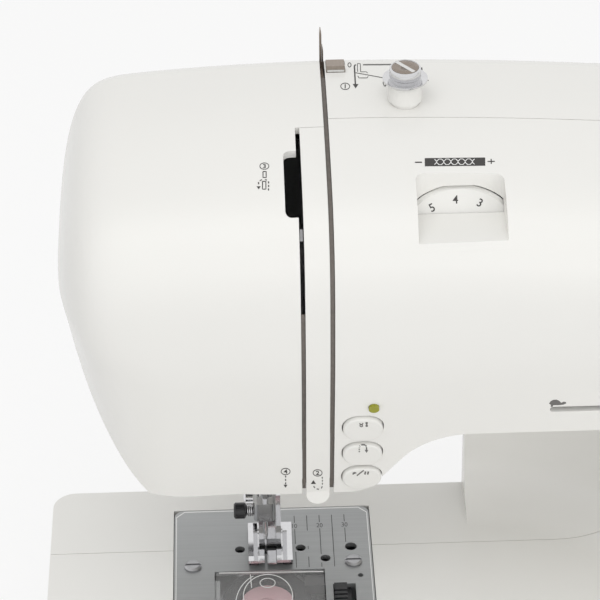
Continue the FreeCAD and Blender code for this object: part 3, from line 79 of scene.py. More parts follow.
RIGHT, UP, FORWARD = camera_axes()


def add_camera():
    data = bpy.data.cameras.new("camera")
    data.sensor_width = SENSOR_WIDTH
    data.lens = SENSOR_WIDTH * FOCAL / PICTURE
    data.clip_start = CLIP_START
    camera = bpy.data.objects.new("camera", data)
    turn = Matrix((RIGHT, UP, -FORWARD)).transposed()
    camera.matrix_world = Matrix.Translation(EYE) @ turn.to_4x4()
    SCENE.collection.objects.link(camera)
    SCENE.camera = camera


def sight(px, py):
    """Direction from the camera through a pixel."""
    across, down = (px - PICTURE / 2) / FOCAL, (py - PICTURE / 2) / FOCAL
    return (FORWARD + RIGHT * across - UP * down).normalized()


def pixel(x, y, z):
    """Picture place of a point given in millimetres from the needle."""
    spot = NEEDLE + Vector((x, y, z)) * MM - EYE
    depth = spot.dot(FORWARD)
    return PICTURE / 2 + FOCAL * spot.dot(RIGHT) / depth, PICTURE / 2 - FOCAL * spot.dot(UP) / depth


# Finishes: the noise that varies them, where tint and wear begin and end in it, and how much paler wear is
FINE_NOISE = {"Detail": 4.0, "Roughness": 0.55}
BROAD_NOISE = {"Scale": 14.0, "Detail": 3.0, "Roughness": 0.5}
NOISE_MIX = 0.5
TINT_SPAN = (0.3, 0.7)
WEAR_SPAN = (0.55, 0.75)
WEAR_GAIN, WEAR_LIFT = 1.25, 0.03
LEAST_ROUGHNESS = 0.02
BUMP_DEPTH = 0.2 * MM
PLASTIC_IOR = 1.45
UNSTRETCHED = (1.0, 1.0, 1.0)


def link(tree, source, target):
    tree.links.new(source, target)


def add_node(tree, kind, **settings):
    """A shader node with some of its inputs or properties set."""
    node = tree.nodes.new(kind)
    for name, setting in settings.items():
        if name in node.inputs:
            node.inputs[name].default_value = setting
        else:
            setattr(node, name, setting)
    return node


def add_ramp(tree, low, high, span):
    """A ramp from one colour to another between two values."""
    ramp = add_node(tree, "ShaderNodeValToRGB")
    for element, colour, position in zip(ramp.color_ramp.elements, (low, high), span):
        element.color = (*colour, 1.0)
        element.position = position
    return ramp


def object_coords(tree, stretch=UNSTRETCHED):
    coords = add_node(tree, "ShaderNodeTexCoord")
    mapping = add_node(tree, "ShaderNodeMapping", Scale=stretch)
    link(tree, coords.outputs["Object"], mapping.inputs["Vector"])
    return mapping.outputs["Vector"]


def add_wear(tree, broad, plain, colour, worn):
    """The plain colour, turned paler where the broad noise is high."""
    wear = add_node(tree, "ShaderNodeMix", data_type="RGBA")
    patch = add_node(tree, "ShaderNodeMapRange")
    patch.inputs["From Min"].default_value, patch.inputs["From Max"].default_value = WEAR_SPAN
    patch.inputs["To Max"].default_value = worn
    link(tree, broad.outputs["Fac"], patch.inputs["Value"])
    link(tree, patch.outputs["Result"], wear.inputs["Factor"])
    link(tree, plain, wear.inputs["A"])
    paler = [min(1.0, channel * WEAR_GAIN + WEAR_LIFT) for channel in colour]
    wear.inputs["B"].default_value = (*paler, 1.0)
    return wear.outputs["Result"]


def finish(name, colour, roughness, metallic=0.0, grain=900.0, drift=0.04, rough_drift=0.1, bump=0.03,
           stretch=UNSTRETCHED, worn=0.0, **sockets):
    """A surface whose colour, gloss and height vary finely, with optional paler wear in broad patches."""
    material = bpy.data.materials.new(name)
    material.use_nodes = True
    tree = material.node_tree
    shader = tree.nodes["Principled BSDF"]
    shader.inputs["Metallic"].default_value = metallic
    for socket, setting in sockets.items():
        shader.inputs[socket.replace("_", " ")].default_value = setting

    fine = add_node(tree, "ShaderNodeTexNoise", Scale=grain, **FINE_NOISE)
    broad = add_node(tree, "ShaderNodeTexNoise", **BROAD_NOISE)
    link(tree, object_coords(tree, stretch), fine.inputs["Vector"])
    link(tree, object_coords(tree), broad.inputs["Vector"])
    blend = add_node(tree, "ShaderNodeMix", data_type="FLOAT")
    blend.inputs["Factor"].default_value = NOISE_MIX
    link(tree, fine.outputs["Fac"], blend.inputs["A"])
    link(tree, broad.outputs["Fac"], blend.inputs["B"])

    low = [channel * (1.0 - drift) for channel in colour]
    high = [min(1.0, channel * (1.0 + drift)) for channel in colour]
    tint = add_ramp(tree, low, high, TINT_SPAN)
    link(tree, blend.outputs["Result"], tint.inputs["Fac"])
    shown = tint.outputs["Color"]
    if worn:
        shown = add_wear(tree, broad, shown, colour, worn)
    link(tree, shown, shader.inputs["Base Color"])

    gloss = add_node(tree, "ShaderNodeMapRange")
    gloss.inputs["To Min"].default_value = max(LEAST_ROUGHNESS, roughness - rough_drift)
    gloss.inputs["To Max"].default_value = roughness + rough_drift
    link(tree, blend.outputs["Result"], gloss.inputs["Value"])
    link(tree, gloss.outputs["Result"], shader.inputs["Roughness"])
    height = add_node(tree, "ShaderNodeBump", Strength=bump, Distance=BUMP_DEPTH)
    link(tree, fine.outputs["Fac"], height.inputs["Height"])
    link(tree, height.outputs["Normal"], shader.inputs["Normal"])
    return material


def smooth_plastic(name, colour, roughness, **sockets):
    """Clear or tinted plastic with faint scratches."""
    return finish(name, colour, roughness, grain=500.0, drift=0.03, rough_drift=0.02, bump=0.02, **sockets)


# Plastics
WHITE = finish("white_plastic", (0.865, 0.857, 0.828), 0.24, grain=2600.0, drift=0.012, rough_drift=0.06,
               bump=0.035, Coat_Weight=0.08, Coat_Roughness=0.08, Specular_IOR_Level=0.34)
# The bed is the casing's plastic: its darker tone here is painted shade
BED_SHADED = finish("bed_plastic", (0.83, 0.81, 0.775), 0.34, grain=2200.0, drift=0.015, rough_drift=0.08, bump=0.06)
BUTTON = finish("button_plastic", (0.85, 0.842, 0.812), 0.3, grain=2600.0, drift=0.012, rough_drift=0.06)
GREY = finish("grey_plastic", (0.58, 0.58, 0.57), 0.42, grain=1500.0, bump=0.08)
DIAL = finish("dial_plastic", (0.83, 0.825, 0.80), 0.32, grain=2200.0, drift=0.015)
BLACK = finish("black_plastic", (0.02, 0.02, 0.022), 0.35, grain=1400.0, drift=0.2, bump=0.08)
DARK = finish("inner_plastic", (0.035, 0.034, 0.036), 0.5, grain=1200.0, drift=0.25, bump=0.1)
# Slot liners: their dark brown-grey is painted shade inside the thread slots
SLOT_SHADE = finish("slot_painted_shade", (0.17, 0.15, 0.135), 0.5, grain=700.0, drift=0.25, bump=0.1, worn=0.3)
RUBBER = finish("rubber", (0.03, 0.03, 0.03), 0.75, drift=0.3, bump=0.25)
CLEAR = smooth_plastic("clear_cover", (0.90, 0.90, 0.90), 0.08, Alpha=0.12)
PINK = smooth_plastic("pink_bobbin", (0.97, 0.62, 0.66), 0.16, Transmission_Weight=0.1, IOR=PLASTIC_IOR)
LED = smooth_plastic("led_lens", (0.42, 0.42, 0.04), 0.2, Transmission_Weight=0.25, IOR=PLASTIC_IOR)
DISPLAY = finish("display", (0.03, 0.034, 0.034), 0.2, drift=0.1, bump=0.01)
LCD = finish("display_glass", (0.30, 0.34, 0.27), 0.22, grain=1200.0, drift=0.05, rough_drift=0.04, bump=0.01)

# Metals
PLATE = finish("plate_steel", (0.38, 0.388, 0.39), 0.38, metallic=0.6, grain=420.0, drift=0.10,
               rough_drift=0.12, bump=0.10, stretch=(0.06, 3.0, 1.0), worn=0.25)
STEEL = finish("oiled_steel", (0.42, 0.42, 0.43), 0.32, metallic=1.0, grain=600.0, drift=0.12, bump=0.05)
CHROME = finish("chrome", (0.68, 0.68, 0.69), 0.12, metallic=1.0, grain=500.0, drift=0.05, rough_drift=0.05,
                bump=0.02, worn=0.2)
BRONZE = finish("bronze_steel", (0.36, 0.31, 0.27), 0.34, metallic=0.9, grain=500.0, drift=0.12, bump=0.05,
                stretch=(3.0, 0.2, 1.0))
CAST = finish("cast_metal", (0.45, 0.46, 0.47), 0.55, metallic=0.6, grain=700.0, drift=0.15, bump=0.3)
BRASS = finish("bushing_brass", (0.55, 0.42, 0.22), 0.35, metallic=1.0, grain=600.0, drift=0.1, bump=0.05)
# Painted highlights: bright lines where edges of metal parts catch the light
HIGHLIGHT_METAL = finish("painted_highlight_metal", (0.74, 0.74, 0.73), 0.35, metallic=0.5, drift=0.06, bump=0.04)
# Painted reflection: the brown seen on the top face of the pretension screw
BROWN_REFLECTION = finish("painted_brown_reflection", (0.30, 0.255, 0.22), 0.28, metallic=0.85, grain=500.0, drift=0.15,
                     bump=0.05)
ENGRAVED = finish("engraved_line", (0.10, 0.10, 0.10), 0.6, metallic=0.3, drift=0.2, bump=0.05)

# Inks
INK = finish("printed_ink", (0.05, 0.047, 0.045), 0.55, grain=1800.0, drift=0.2, bump=0.05)
PALE_INK = finish("pale_ink", (0.86, 0.86, 0.85), 0.5, grain=1800.0, drift=0.03, bump=0.05)
GREY_INK = finish("grey_ink", (0.15, 0.145, 0.14), 0.55, grain=1800.0, drift=0.15, bump=0.05)

FINISHES = {
    WHITE: ["face_cover", "thread_divider", "front_casing", "rear_casing", "carry_handle"],
    BED_SHADED: ["accessory_table", "table_door"],
    BUTTON: ["needle_button", "reverse_button", "start_button", "speed_slider", "pretension_post",
             "lifter_lever"],
    GREY: ["base_tray", "handwheel", "spool_pin", "winder_slide"],
    DIAL: ["tension_dial"],
    BLACK: ["cover_latch", "clamp_screw", "power_switch", "power_inlet", "motor"],
    DARK: ["bobbin_case"],
    RUBBER: ["rubber_feet", "motor_belt", "timing_belt"],
    PLATE: ["needle_plate"],
    STEEL: ["arm_shaft", "crank_disc", "arm_pulley", "lower_shaft", "lower_gear", "motor_pulley",
            "needle_bar_link", "casing_screws", "take_up_lever", "feed_dog", "hook", "plate_screws"],
    CHROME: ["needle_bar", "needle", "needle_clamp", "presser_bar", "presser_foot", "foot_holder",
             "foot_screw", "pretension_disc", "pretension_screw", "winder_spindle"],
    BRONZE: ["top_thread_guide", "thread_prongs"],
    CAST: ["main_frame", "needle_bar_cradle", "feed_bar"],
    BRASS: ["shaft_bushings"],
    CLEAR: ["bobbin_cover"],
    PINK: ["bobbin"],
    LED: ["led_lens"],
    DISPLAY: ["display_window"],
}


def dress_nodes():
    for material, names in FINISHES.items():
        for name in names:
            mesh = NODES[name].data
            mesh.materials.clear()
            mesh.materials.append(material)


def surface_of(*names):
    """A search tree over the surfaces of some nodes."""
    points, polygons = [], []
    for name in names:
        mesh = NODES[name].data
        start = len(points)
        points += [vertex.co.copy() for vertex in mesh.vertices]
        polygons += [[start + index for index in polygon.vertices] for polygon in mesh.polygons]
    return BVHTree.FromPolygons(points, polygons)


def add_object(name, mesh, material, body):
    """A piece of one material that rides on a body."""
    mesh.materials.append(material)
    piece = bpy.data.objects.new(name, mesh)
    SCENE.collection.objects.link(piece)
    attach(piece, body)
    return piece


# Height of a print over its surface, and, in pixels or counts, how finely lines and figures are divided
PRINT_LIFT = 0.06 * MM
LINE_STEP = 1.5
RING_STEPS = 22
FIGURE_STEPS = 4


class Sign:
    """Flat shapes in picture pixels, laid a little above the surface they are seen on."""

    def __init__(self, name, surface, material, body, slot, lift=PRINT_LIFT):
        self.name, self.surface, self.material = name, surface, material
        self.body, self.slot, self.lift = body, slot, lift
        self.points, self.faces = [], []

    def corner(self, px, py):
        """Adds the point above the surface behind a pixel, and gives its number."""
        place, normal, _, _ = self.surface.ray_cast(EYE, sight(px, py))
        if place is None:
            raise ValueError(f"{self.name}: nothing behind pixel {px:.1f}, {py:.1f}")
        if normal.dot(FORWARD) > 0:
            normal = -normal
        self.points.append(place + normal * self.lift)
        return len(self.points) - 1

    def band(self, rows):
        """Faces between rows of two points."""
        for (a, b), (c, d) in zip(rows, rows[1:]):
            self.faces.append((a, c, d, b))

    def stroke(self, path, width, step=LINE_STEP):
        """A line of even width through pixels."""
        fine = [path[0]]
        for (ax, ay), (bx, by) in zip(path, path[1:]):
            count = max(1, int(math.hypot(bx - ax, by - ay) / step))
            fine += [(ax + (bx - ax) * k / count, ay + (by - ay) * k / count) for k in range(1, count + 1)]
        rows = []
        for index, (x, y) in enumerate(fine):
            before, after = fine[max(0, index - 1)], fine[min(len(fine) - 1, index + 1)]
            dx, dy = after[0] - before[0], after[1] - before[1]
            length = math.hypot(dx, dy) or 1.0
            nx, ny = -dy / length * width / 2, dx / length * width / 2
            rows.append((self.corner(x + nx, y + ny), self.corner(x - nx, y - ny)))
        self.band(rows)

    def dash(self, place, length, width):
        """A short upright line centred on a pixel."""
        x, y = place
        self.stroke([(x, y - length / 2), (x, y + length / 2)], width)

    def ring(self, centre, radii, width, start=0.0, turn=360.0, count=RING_STEPS):
        """An oval line, or a part of one."""
        path = []
        for index in range(count + 1):
            angle = math.radians(start + turn * index / count)
            path.append((centre[0] + radii[0] * math.cos(angle), centre[1] + radii[1] * math.sin(angle)))
        self.stroke(path, width)

    def area(self, outline):
        """A filled polygon."""
        corners = [self.corner(px, py) for px, py in outline]
        flat = [Vector((px, -py, 0.0)) for px, py in outline]
        for triangle in tessellate_polygon([flat]):
            self.faces.append(tuple(corners[index] for index in triangle))

    def arrow_head(self, place, size, up=False):
        """A filled triangle that points down, or up."""
        x, y = place
        way = -1 if up else 1
        back = y - way * size / 2
        self.area([(x - size, back), (x + size, back), (x, y + way * size)])

    def text(self, words, centre, height, squeeze=1.0, bold=0.0):
        """Plain figures, centred on a pixel."""
        curve = bpy.data.curves.new("figures", "FONT")
        curve.body = words
        curve.size = 1.0
        curve.offset = bold
        curve.resolution_u = FIGURE_STEPS
        carrier = bpy.data.objects.new("figures", curve)
        SCENE.collection.objects.link(carrier)
        depsgraph = bpy.context.evaluated_depsgraph_get()
        mesh = bpy.data.meshes.new_from_object(carrier.evaluated_get(depsgraph))
        xs = [vertex.co.x for vertex in mesh.vertices]
        ys = [vertex.co.y for vertex in mesh.vertices]
        scale = height / (max(ys) - min(ys))
        middle_x, middle_y = (max(xs) + min(xs)) / 2, (max(ys) + min(ys)) / 2
        corners = []
        for vertex in mesh.vertices:
            x, y = (vertex.co.x - middle_x) * scale * squeeze, (vertex.co.y - middle_y) * scale
            corners.append(self.corner(centre[0] + x, centre[1] - y))
        for polygon in mesh.polygons:
            self.faces.append(tuple(corners[index] for index in polygon.vertices))
        bpy.data.objects.remove(carrier)
        bpy.data.curves.remove(curve)
        bpy.data.meshes.remove(mesh)

    def make(self):
        mesh = bpy.data.meshes.new(self.name)
        mesh.from_pydata(self.points, [], self.faces)
        editor = bmesh.new()
        editor.from_mesh(mesh)
        for face in editor.faces:
            face.normal_update()
            if face.normal.dot(FORWARD) > 0:
                face.normal_flip()
        editor.to_mesh(mesh)
        editor.free()
        add_object(self.name, mesh, self.material, self.body)


# A step's figure in an oval ring, in pixels
STEP_RADII, STEP_LINE = (4.5, 3.2), 0.75
STEP_HEIGHT, STEP_SQUEEZE, STEP_BOLD = 4.2, 1.3, 0.02


def numbered_ring(sign, figure, place):
    sign.ring(place, STEP_RADII, STEP_LINE)
    sign.text(figure, place, STEP_HEIGHT, squeeze=STEP_SQUEEZE, bold=STEP_BOLD)


# Sign beside the take-up window, in pixels: boxes as left, right, high and low, dashes as place and length
TAKE_UP_STEP = (264.4, 166.2)
TAKE_UP_BOXES, TAKE_UP_BOX_LINE = ((263.0, 266.2, 171.6, 177.6), (262.5, 265.9, 181.4, 189.2)), 0.95
TAKE_UP_DASHES = (((268.6, 182.5), 2.0), ((268.6, 186.0), 2.0), ((268.5, 189.5), 2.0), ((258.6, 183.2), 2.2))
TAKE_UP_DASH_LINE = 1.2
TAKE_UP_TURNS = (((264.9, 179.6), (267.0, 180.2)), ((259.8, 181.0), (262.0, 179.6)))
TAKE_UP_TURN_LINE = 0.9
TAKE_UP_ARROW, TAKE_UP_ARROW_SIZE = (258.7, 187.4), 2.1


def take_up_sign():
    sign = Sign("take_up_sign", surface_of("face_cover"), INK, "machine", "white_plastic")
    numbered_ring(sign, "3", TAKE_UP_STEP)
    for left, right, high, low in TAKE_UP_BOXES:
        sign.stroke([(left, high), (right, high), (right, low), (left, low), (left, high)], TAKE_UP_BOX_LINE)
    for place, length in TAKE_UP_DASHES:
        sign.dash(place, length, TAKE_UP_DASH_LINE)
    for path in TAKE_UP_TURNS:
        sign.stroke(path, TAKE_UP_TURN_LINE)
    sign.arrow_head(TAKE_UP_ARROW, TAKE_UP_ARROW_SIZE)
    sign.make()


# Arrow down at the foot of the left thread slot, in pixels
DOWN_STEP = (285.6, 471.4)
DOWN_DASHES, DOWN_DASH, DOWN_LINE = ((285.6, 476.4), (285.6, 479.8), (285.6, 483.2)), 1.8, 1.1
DOWN_ARROW, DOWN_ARROW_SIZE = (285.5, 485.6), 2.0


def down_sign():
    sign = Sign("down_sign", surface_of("face_cover"), INK, "machine", "white_plastic")
    numbered_ring(sign, "4", DOWN_STEP)
    for place in DOWN_DASHES:
        sign.dash(place, DOWN_DASH, DOWN_LINE)
    sign.arrow_head(DOWN_ARROW, DOWN_ARROW_SIZE)
    sign.make()


# Arrow round the foot of the strip between the thread slots and up again, in pixels
UP_STEP = (317.6, 472.8)
UP_DASHES, UP_DASH, UP_LINE = ((322.2, 477.6), (322.4, 480.6), (322.4, 483.6)), 1.6, 1.0
UP_TURN = (((322.3, 486.2), (321.4, 488.2)), ((319.0, 489.2), (316.6, 488.8)),
           ((314.8, 487.8), (313.6, 486.0)))
UP_ARROW, UP_ARROW_SIZE = (313.4, 482.6), 2.6


def up_sign():
    sign = Sign("up_sign", surface_of("thread_divider"), INK, "machine", "white_plastic")
    numbered_ring(sign, "2", UP_STEP)
    for place in UP_DASHES:
        sign.dash(place, UP_DASH, UP_LINE)
    for path in UP_TURN:
        sign.stroke(path, UP_LINE)
    sign.arrow_head(UP_ARROW, UP_ARROW_SIZE, up=True)
    sign.make()


# Thread route on the casing's top, in pixels: an oval, an arrow, and its other lines as width and path
ROUTE_STEP = (345.2, 86.4)
ROUTE_OVAL, ROUTE_OVAL_RADII, ROUTE_OVAL_LINE, ROUTE_OVAL_STEPS = (349.5, 65.0), (1.6, 2.1), 0.8, 14
ROUTE_SHAFT, ROUTE_SHAFT_LINE = ((355.6, 64.6), (354.4, 66.2), (355.4, 84.5)), 1.4
ROUTE_ARROW, ROUTE_ARROW_SIZE = (355.6, 85.6), 2.9
ROUTE_LINES = (
    (0.7, ((357.6, 71.8), (357.3, 63.8), (360.4, 63.8), (360.6, 71.8))),
    (0.7, ((355.6, 72.8), (384.5, 78.1), (389.5, 78.1))),
    (0.6, ((360.5, 71.9), (366.2, 71.9), (367.6, 73.1))),
    (0.7, ((357.8, 75.9), (359.0, 78.0), (367.0, 78.0), (368.2, 76.5))),
    (0.8, ((384.4, 78.5), (383.0, 83.0), (384.6, 86.5))),
    (1.0, ((389.6, 82.5), (386.4, 83.7), (385.2, 86.5))),
    (1.8, ((421.4, 67.6), (422.0, 74.5))),
    (0.9, ((424.2, 82.4), (426.0, 80.4), (428.6, 80.6))),
)
ROUTE_BAR, ROUTE_BAR_LINE = ((363.0, 64.8), (415.6, 64.4)), 1.3
# Painted highlight along the lip of the thread guide, in pixels
GUIDE_LIP, GUIDE_LIP_LINE = ((327.4, 71.0), (344.2, 70.6)), 2.0


def route_signs():
    """The printed route of the thread, its grey bar, and a painted highlight on the lip of the guide beside
    it.
    """
    top = surface_of("rear_casing", "front_casing")
    sign = Sign("thread_route_sign", top, INK, "machine", "white_plastic")
    numbered_ring(sign, "1", ROUTE_STEP)
    sign.ring(ROUTE_OVAL, ROUTE_OVAL_RADII, ROUTE_OVAL_LINE, count=ROUTE_OVAL_STEPS)
    sign.stroke(ROUTE_SHAFT, ROUTE_SHAFT_LINE)
    sign.arrow_head(ROUTE_ARROW, ROUTE_ARROW_SIZE)
    for width, path in ROUTE_LINES:
        sign.stroke(path, width)
    sign.make()
    bar = Sign("thread_bar_sign", top, GREY_INK, "machine", "white_plastic")
    bar.stroke(ROUTE_BAR, ROUTE_BAR_LINE)
    bar.make()
    lip = Sign("guide_lip_highlight", surface_of("top_thread_guide"), HIGHLIGHT_METAL, "machine", "guide_metal")
    lip.stroke(GUIDE_LIP, GUIDE_LIP_LINE)
    lip.make()


# Tension sign over the dial, in pixels: minus, plus and the dark field between them
MINUS, MINUS_LINE = ((414.9, 162.4), (422.0, 162.3)), 1.2
PLUS_ACROSS, PLUS_ACROSS_LINE = ((487.6, 161.5), (494.8, 161.4)), 1.0
PLUS_UPRIGHT, PLUS_UPRIGHT_LINE = ((491.1, 159.0), (491.3, 164.0)), 1.1
FIELD, FIELD_WIDTH, FIELD_STEP = ((424.8, 162.3), (485.2, 161.7)), 8.2, 2.0

# Pale stitches on the field, in pixels: bent crosses, with lines above and below between them
STITCH_COUNT, STITCH_PITCH, STITCH_RISE = 6, 7.15, 0.05
STITCH_FIRST = (436.6, 162.1)
STITCH_END, STITCH_BEND, STITCH_LINE = (2.2, 2.7), (0.4, 1.0), 0.75
BETWEEN_SIDE, BETWEEN_GAP, BETWEEN_LINE = 2.8, 2.0, 0.6
STITCH_LIFT = 0.12 * MM


def tension_sign():
    sign = Sign("tension_sign", surface_of("front_casing"), INK, "machine", "white_plastic")
    sign.stroke(MINUS, MINUS_LINE)
    sign.stroke(PLUS_ACROSS, PLUS_ACROSS_LINE)
    sign.stroke(PLUS_UPRIGHT, PLUS_UPRIGHT_LINE)
    sign.stroke(FIELD, FIELD_WIDTH, step=FIELD_STEP)
    sign.make()


def tension_stitches():
    front = surface_of("front_casing")
    row = Sign("tension_stitches", front, PALE_INK, "machine", "white_plastic", lift=STITCH_LIFT)
    (end_x, end_y), (bend_x, bend_y) = STITCH_END, STITCH_BEND
    for index in range(STITCH_COUNT):
        x, y = STITCH_FIRST[0] + STITCH_PITCH * index, STITCH_FIRST[1] - STITCH_RISE * index
        for way in (1, -1):
            row.stroke([(x - end_x, y - way * end_y), (x - bend_x, y - way * bend_y),
                        (x + bend_x, y + way * bend_y), (x + end_x, y + way * end_y)], STITCH_LINE)
        if index < STITCH_COUNT - 1:
            for side in (y - BETWEEN_SIDE, y + BETWEEN_SIDE):
                row.stroke([(x + BETWEEN_GAP, side), (x + STITCH_PITCH - BETWEEN_GAP, side)], BETWEEN_LINE)
    row.make()


# Figures round the dial: the one shown at rest, degrees from one to the next, and place and height in pixels
DIAL_SHOWN, DIAL_COUNT, DIAL_STEP = 4, 10, 27.0
DIAL_PLACE, DIAL_HEIGHT, DIAL_SQUEEZE, DIAL_BOLD = (455.4, 199.4), 8.4, 0.95, 0.01


def dial_figures():
    """Each figure is laid where the one at rest is seen, and turned about the dial's joint to its place."""
    sign = Sign("dial_figures", surface_of("tension_dial"), INK, "dial", "grey_plastic")
    hinge = next(joint for joint in frame["joints"] if joint["name"] == "dial_turn")
    centre, axis = Vector(hinge["pos_m"]), Vector(hinge["axis"])
    for figure in range(DIAL_COUNT):
        first = len(sign.points)
        sign.text(str(figure), DIAL_PLACE, DIAL_HEIGHT, squeeze=DIAL_SQUEEZE, bold=DIAL_BOLD)
        turn = Matrix.Rotation(math.radians(DIAL_STEP * (figure - DIAL_SHOWN)), 3, axis)
        sign.points[first:] = [centre + turn @ (point - centre) for point in sign.points[first:]]
    sign.make()


# Needle button, in pixels: a small arc over a ring, and a filled shape beside them
SMALL_ARC, SMALL_ARC_LINE = ((359.6, 423.0), (360.4, 424.4), (362.2, 424.4), (363.0, 423.0)), 1.1
SMALL_RING, SMALL_RADII, SMALL_RING_LINE, SMALL_RING_STEPS = (361.3, 425.6), (1.4, 1.0), 0.9, 12
BUTTON_SHAPE = ((365.6, 422.0), (367.8, 422.0), (367.8, 423.8), (367.2, 424.4), (368.0, 425.4),
                (367.6, 426.8), (365.8, 426.8), (365.4, 425.4), (366.2, 424.4), (365.6, 423.8))

# Reverse button, in pixels: an arrow that turns back, with its tail in dashes
BACK_ARC = ((359.3, 447.6), (359.6, 446.0), (361.4, 444.8), (364.4, 444.8), (366.4, 446.0), (366.6, 450.2))
BACK_DASHES, BACK_DASH, BACK_LINE = ((359.3, 449.2), (359.3, 451.4)), 1.2, 1.4
BACK_ARROW, BACK_ARROW_SIZE = (366.5, 450.8), 1.9

# Start button, in pixels: a triangle, a slash and two slanted bars
START_SHAPE = ((352.6, 470.8), (352.6, 474.8), (356.8, 472.8))
START_SLASH, START_SLASH_LINE = ((356.8, 475.6), (363.8, 470.2)), 1.2
STOP_BARS, STOP_LINE = (((365.6, 471.4), (364.8, 474.4)), ((368.4, 471.4), (367.6, 474.4))), 1.6


def needle_button_sign():
    sign = Sign("needle_button_sign", surface_of("needle_button"), GREY_INK, "needle_key", "button_plastic")
    sign.stroke(SMALL_ARC, SMALL_ARC_LINE)
    sign.ring(SMALL_RING, SMALL_RADII, SMALL_RING_LINE, count=SMALL_RING_STEPS)
    sign.area(BUTTON_SHAPE)
    sign.make()


def reverse_button_sign():
    button = surface_of("reverse_button")
    sign = Sign("reverse_button_sign", button, GREY_INK, "reverse_key", "button_plastic")
    sign.stroke(BACK_ARC, BACK_LINE)
    for place in BACK_DASHES:
        sign.dash(place, BACK_DASH, BACK_LINE)
    sign.arrow_head(BACK_ARROW, BACK_ARROW_SIZE)
    sign.make()


def start_button_sign():
    sign = Sign("start_button_sign", surface_of("start_button"), GREY_INK, "start_key", "button_plastic")
    sign.area(START_SHAPE)
    sign.stroke(START_SLASH, START_SLASH_LINE)
    for path in STOP_BARS:
        sign.stroke(path, STOP_LINE)
    sign.make()


# Turtle at the slow end of the speed slider, in pixels. It lies low, because the knob slides over it
TURTLE = ((549.0, 403.6), (550.4, 401.4), (553.2, 399.8), (556.6, 399.6), (559.4, 400.8), (561.2, 402.8),
          (563.6, 401.6), (566.0, 402.0), (566.2, 403.4), (563.4, 404.6), (560.2, 405.0), (560.6, 406.8),
          (558.6, 406.8), (557.6, 405.2), (553.4, 405.2), (552.6, 406.8), (550.6, 406.8), (551.0, 404.9))
TURTLE_LIFT = 0.02 * MM


def slow_sign():
    front = surface_of("front_casing")
    sign = Sign("slow_sign", front, GREY_INK, "machine", "white_plastic", lift=TURTLE_LIFT)
    sign.area(TURTLE)
    sign.make()


# Display glass, in millimetres from the needle, and its figures: words, place, and height in pixels
GLASS_LEFT, GLASS_RIGHT, GLASS_LOW, GLASS_HIGH, GLASS_ROWS = 199.0, 245.0, 139.0, 157.0, 9
GLASS_FIGURES = (("01", (209.0, 148.0), 22.0), ("2.5", (234.0, 152.4), 10.0), ("4.0", (234.0, 143.6), 10.0))
GLASS_MIDDLE, DIVIDER_LOW, DIVIDER_HIGH, DIVIDER_LINE = 222.0, 141.0, 155.0, 1.0
IN_FRONT = -200.0
# Figures are flat and the glass is bowed, so they stand higher than other prints to stay out of it
GLASS_FIGURE_LIFT = 0.3 * MM


def front_pixel(surface, x, z):
    """Picture place of the foremost point of a surface at a width and height."""
    place = surface.ray_cast(NEEDLE + Vector((x, IN_FRONT, z)) * MM, Vector((0, 1, 0)))[0]
    return pixel(*((place - NEEDLE) / MM))


def display_signs():
    """The pale glass of the display, with the number of the stitch and its width and length."""
    window = surface_of("display_window")
    glass = Sign("display_glass", window, LCD, "machine", "display")
    rows = []
    for row in range(GLASS_ROWS + 1):
        z = GLASS_LOW + (GLASS_HIGH - GLASS_LOW) * row / GLASS_ROWS
        rows.append([glass.corner(*front_pixel(window, x, z)) for x in (GLASS_LEFT, GLASS_RIGHT)])
    glass.band(rows)
    glass.make()
    figures = Sign("display_figures", window, INK, "machine", "display", lift=GLASS_FIGURE_LIFT)
    for words, place, height in GLASS_FIGURES:
        figures.text(words, front_pixel(window, *place), height)
    figures.stroke([front_pixel(window, GLASS_MIDDLE, z) for z in (DIVIDER_LOW, DIVIDER_HIGH)], DIVIDER_LINE)
    figures.make()


# Seam lines, in millimetres from the needle: distance of each, and the stretches of it that are cut
SEAM_LINES = {
    10: ((22, 17.6), (13.6, 4.4), (-0.4, -10)),
    15: ((22, 12.5), (3.0, 1.0), (-3.6, -10)),
    20: ((22, 17.6), (13.6, -2.2), (-7.4, -10)),
    25: ((22, -10),),
    30: ((22, 17.6), (13.6, 4.8)),
}
NUMBERED_EVERY, NUMBERS_ALONG = 10, 15.6
# The same lines in pixels: width, step, and height and width of the numbers
SEAM_WIDTH, SEAM_STEP, NUMBER_HEIGHT, NUMBER_SQUEEZE = 0.75, 6.0, 4.2, 1.1
SEAM_LIFT = 0.03 * MM

# Painted highlight along the plate's bevel, in millimetres from the needle: the plate's edges, the bevel's
# inset, corners and ends
PLATE_LEFT, PLATE_RIGHT, PLATE_FRONT, PLATE_REAR = -38.0, 40.0, -56.0, 27.0
BEVEL_INSET, BEVEL_CORNER, BEVEL_FRONT_GAP = 0.8, 4.0, 3.0
# The same highlight in pixels: width and step
BEVEL_WIDTH, BEVEL_STEP = 1.0, 4.0
BEVEL_LIFT = 0.04 * MM


def seam_lines():
    """Seam lines and their distances in millimetres, cut into the needle plate."""
    lines = Sign("seam_lines", surface_of("needle_plate"), ENGRAVED, "machine", "plate_steel", lift=SEAM_LIFT)
    for across, stretches in SEAM_LINES.items():
        for stretch in stretches:
            lines.stroke([pixel(across, along, 0) for along in stretch], SEAM_WIDTH, step=SEAM_STEP)
        if across % NUMBERED_EVERY == 0:
            lines.text(str(across), pixel(across, NUMBERS_ALONG, 0), NUMBER_HEIGHT, squeeze=NUMBER_SQUEEZE)
    lines.make()


